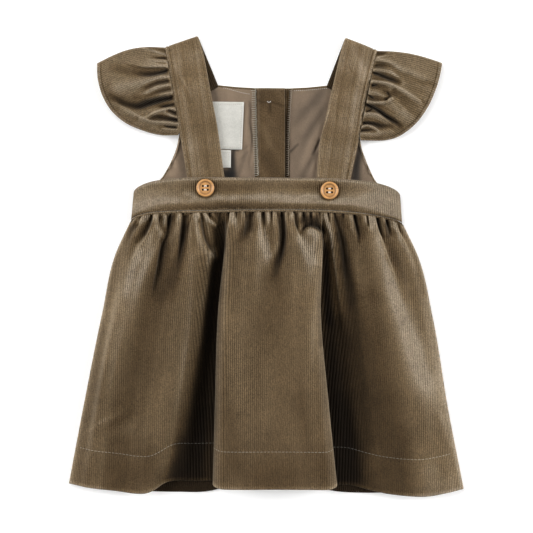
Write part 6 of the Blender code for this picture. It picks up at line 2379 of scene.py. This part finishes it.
FLUTTERS = (
    Flutter(
        LEFT_STRAP,
        seam_hem=[
            (-86.9, 185.4, -143.6, 172.2), (-85.6, 176.5, -142.8, 158.6), (-83.9, 166.3, -138.8, 144.2),
            (-81.8, 154.4, -131.1, 131.4), (-79.7, 142.5, -119.2, 121.2), (-77.6, 131.4, -104.8, 114.8),
            (-75.9, 122.1, -90.3, 111.0), (-74.3, 113.6, -74.8, 110.8),
        ],
        back_seam=[(-86.9, 185.2), (-68.3, 139.4), (-73.1, 122.0), (-75.0, 110.6)],
        bow=5.6,
        creases=LEFT_GATHERS,
        tones=LEFT_FLUTTER_PAINTED_LIGHT,
    ),
    Flutter(
        RIGHT_STRAP,
        seam_hem=[
            (95.2, 182.7, 149.0, 172.6), (93.3, 173.9, 146.8, 160.3), (91.2, 163.7, 143.0, 147.6),
            (89.0, 152.7, 136.6, 134.0), (86.9, 141.6, 126.9, 120.8), (84.6, 130.6, 113.7, 110.5),
            (82.6, 120.4, 100.1, 106.4), (80.7, 110.0, 80.4, 106.4),
        ],
        back_seam=[(95.2, 182.6), (77.8, 141.4), (79.3, 123.8), (80.7, 107.0)],
        bow=2.9,
        creases=RIGHT_GATHERS,
        tones=RIGHT_FLUTTER_PAINTED_LIGHT,
    ),
)


@dataclass(frozen=True)
class Button:
    """A turned wooden button, sewn on through four holes.

    Attributes:
        node: The CAD node that it stands for.
        place: Its middle, x and y.
        radius: Of the button.
        profile: Share of the radius and height, from the middle of the dish over the rim to the foot.
        tones: Share of the radius, and the painted light there: painted shade in the groove and at the outer
            edge, a painted highlight on the rim.
        holes: The offset of each hole from the middle.
        bore: Radius of a hole.
        strands: How far each strand lies from the middle of its bar, and how high it stands.
    """

    node: str
    place: tuple[float, float]
    radius: float = 7.65
    profile: tuple[tuple[float, float], ...] = (
        (0.0, 1.55), (0.30, 1.54), (0.52, 1.48), (0.62, 1.38), (0.67, 1.36), (0.72, 1.60), (0.76, 2.05),
        (0.81, 2.38), (0.87, 2.46), (0.93, 2.34), (0.975, 2.0), (1.0, 1.50), (0.99, 1.0), (0.95, 0.5),
        (0.88, 0.12), (0.80, 0.0), (0.0, 0.0),
    )
    tones: tuple[tuple[float, float], ...] = (
        (0.0, 1.05), (0.55, 1.05), (0.64, 0.8), (0.69, 0.5), (0.73, 0.62), (0.79, 1.0), (0.87, 1.2),
        (0.93, 1.05), (1.0, 0.5),
    )
    holes: tuple[float, float] = (2.1, 1.6)
    bore: float = 0.98
    strands: tuple[tuple[float, float], ...] = ((-0.36, 0.25), (-0.12, 0.40), (0.12, 0.38), (0.36, 0.24))

    def build(self) -> None:
        """Turn the button, bore its holes and sew it on."""
        foot = float(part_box(self.node)[0].z) / MM
        form = bmesh.new()
        radius = self.radius * MM
        line = [form.verts.new((share * radius, 0.0, height * MM)) for share, height in self.profile]
        line += [form.edges.new(pair) for pair in zip(line[:-1], line[1:])]
        turn = {"cent": (0, 0, 0), "axis": UP, "angle": 2 * math.pi, "steps": 64}
        bmesh.ops.spin(form, geom=line, use_merge=True, **turn)
        bmesh.ops.remove_doubles(form, verts=form.verts[:], dist=1e-6)
        bmesh.ops.recalc_face_normals(form, faces=form.faces[:])
        if form.calc_volume(signed=True) < 0:
            bmesh.ops.reverse_faces(form, faces=form.faces[:])
        centre = Vector((*self.place, foot)) * MM
        bmesh.ops.translate(form, verts=form.verts[:], vec=centre)
        mesh = self.bored(finished(form, self.node + "_wood"), centre)
        mesh.shade_smooth()
        # painted shade and highlights by the distance from the middle
        radii = [math.dist(vertex.co[:2], centre[:2]) / radius for vertex in mesh.vertices]
        shade = np.interp(radii, *zip(*self.tones))
        mesh.attributes.new(SHADE, "FLOAT", "POINT").data.foreach_set("value", shade)
        button = add_piece(self.node + "_wood", mesh, WOOD, Slot.WOOD, self.node)
        button.modifiers.new("crisp edges", "WEIGHTED_NORMAL").keep_sharp = True
        self.sew(foot)

    def bored(self, blank: bpy.types.Mesh, centre: Vector) -> bpy.types.Mesh:
        """Cut the four holes through a blank.

        Args:
            blank: The button's mesh, in place.
            centre: Its middle, in metres.

        Returns:
            The mesh with its holes.
        """
        drill = bmesh.new()
        bore = self.bore * MM
        for sx in (-1, 1):
            for sy in (-1, 1):
                at = Matrix.Translation(centre + Vector((sx * self.holes[0], sy * self.holes[1], 1.0)) * MM)
                bmesh.ops.create_cone(
                    drill, cap_ends=True, segments=20, radius1=bore, radius2=bore, depth=8 * MM, matrix=at
                )
        drilled = finished(drill, self.node + "_holes")
        pair = [bpy.data.objects.new(part.name, part) for part in (blank, drilled)]
        for part in pair:
            bpy.context.scene.collection.objects.link(part)
        cut = pair[0].modifiers.new("holes", "BOOLEAN")
        cut.operation, cut.object = "DIFFERENCE", pair[1]
        mesh = bpy.data.meshes.new_from_object(pair[0].evaluated_get(bpy.context.evaluated_depsgraph_get()))
        for part in pair:
            bpy.data.objects.remove(part)
        return mesh

    def sew(self, foot: float) -> None:
        """Sew the button on with two bars of thread, each of four strands from hole to hole.

        Args:
            foot: The height of the cloth under the button, in mm.
        """
        t = np.linspace(-1.0, 1.0, 15)
        rings = []
        for bar in (-1, 1):
            for strand, (spread, over) in enumerate(self.strands):
                x = self.place[0] + (self.holes[0] - 0.95 * self.bore) * t
                y = self.place[1] + bar * self.holes[1] + spread * (1 - 0.35 * t**2)
                y = y + 0.08 * bar * strand * t
                z = foot + 1.5 + over - (over + 1.3) * np.abs(t) ** 5
                rings.append(tube(np.stack([x, y, z], -1), 0.21, 6))
        name = self.node + "_thread"
        add_piece(name, joined(rings, name), THREAD_WHITE)


# ---------------------------------------------------------------- stage


@dataclass(frozen=True)
class Lamp:
    """A soft distant lamp, which lights the whole floor evenly.

    Attributes:
        name: Its name.
        towards: Where it stands, as a direction from the dress.
        spread: The angle that it fills, in degrees.
        strength: In watts to the square metre.
        colour: Of its light.
    """

    name: str
    towards: tuple[float, float, float]
    spread: float
    strength: float
    colour: Colour = (1.0, 1.0, 1.0)

    def build(self) -> None:
        """Hang the lamp."""
        light = bpy.data.lights.new(self.name, "SUN")
        light.angle = math.radians(self.spread)
        light.energy = self.strength
        light.color = self.colour
        lamp = bpy.data.objects.new(self.name, light)
        lamp.location = self.towards
        lamp.rotation_euler = (-Vector(self.towards)).to_track_quat("-Z", "Y").to_euler()
        bpy.context.scene.collection.objects.link(lamp)


@dataclass(frozen=True)
class Stage:
    """The floor, the lamps and the camera straight above.

    Attributes:
        floor: Side of the floor in metres.
        lamps: The soft lamps.
        sky: Brightness of the light from all round; where the camera sees it, it is as pale as the floor.
        camera: The camera's place in metres.
        lens: Its focal length in mm.
    """

    floor: float = 24.0
    lamps: tuple[Lamp, ...] = (
        Lamp("key", (-0.55, 0.75, 0.75), 40.0, 1.25, (1.0, 0.985, 0.96)),
        Lamp("left_side", (-1.0, 0.1, 0.36), 38.0, 4.4),
        Lamp("right_side", (1.0, 0.12, 0.36), 38.0, 5.2),
    )
    sky: float = 0.19
    camera: tuple[float, float, float] = (0.0002, -0.0008, 3.0)
    lens: float = 238.0

    def build(self) -> None:
        """Make the stage."""
        bpy.context.scene.view_settings.view_transform = "Standard"
        self.lay_floor()
        for lamp in self.lamps:
            lamp.build()
        self.light_sky()
        self.set_camera()

    def lay_floor(self) -> None:
        """Lay the floor just under the dress."""
        plane = bmesh.new()
        bmesh.ops.create_grid(plane, x_segments=1, y_segments=1, size=self.floor / 2)
        mesh = finished(plane, "floor")
        mesh.materials.append(FLOOR.material())
        floor = bpy.data.objects.new("floor", mesh)
        floor.location.z = -0.0002
        bpy.context.scene.collection.objects.link(floor)

    def light_sky(self) -> None:
        """Light the stage from all round."""
        world = bpy.data.worlds.new("sky")
        world.use_nodes = True
        graph = Graph(world.node_tree)
        seen = graph.add("ShaderNodeLightPath").outputs["Is Camera Ray"]
        sky = world.node_tree.nodes["Background"]
        preset(sky, {"Color": WHITE})
        graph.link(graph.span(seen, 0.0, 1.0, self.sky, 0.95), sky, "Strength")
        bpy.context.scene.world = world

    def set_camera(self) -> None:
        """Set the camera, which looks straight down."""
        lens = bpy.data.cameras.new("camera")
        lens.lens = self.lens
        lens.sensor_width = 36.0
        camera = bpy.data.objects.new("camera", lens)
        camera.location = self.camera
        bpy.context.scene.collection.objects.link(camera)
        bpy.context.scene.camera = camera


def main() -> None:
    """Build the stage and the dress."""
    logging.basicConfig(level=logging.INFO, format="%(message)s")
    Stage().build()
    Skirt().build()
    Bodice().build()
    Waistband().build()
    Labels().build()
    for flutter in FLUTTERS:
        flutter.strap.build()
        flutter.build()
    for node, place in BUTTONS.items():
        Button(node, place).build()
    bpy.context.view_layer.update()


if __name__ == "__main__":
    main()
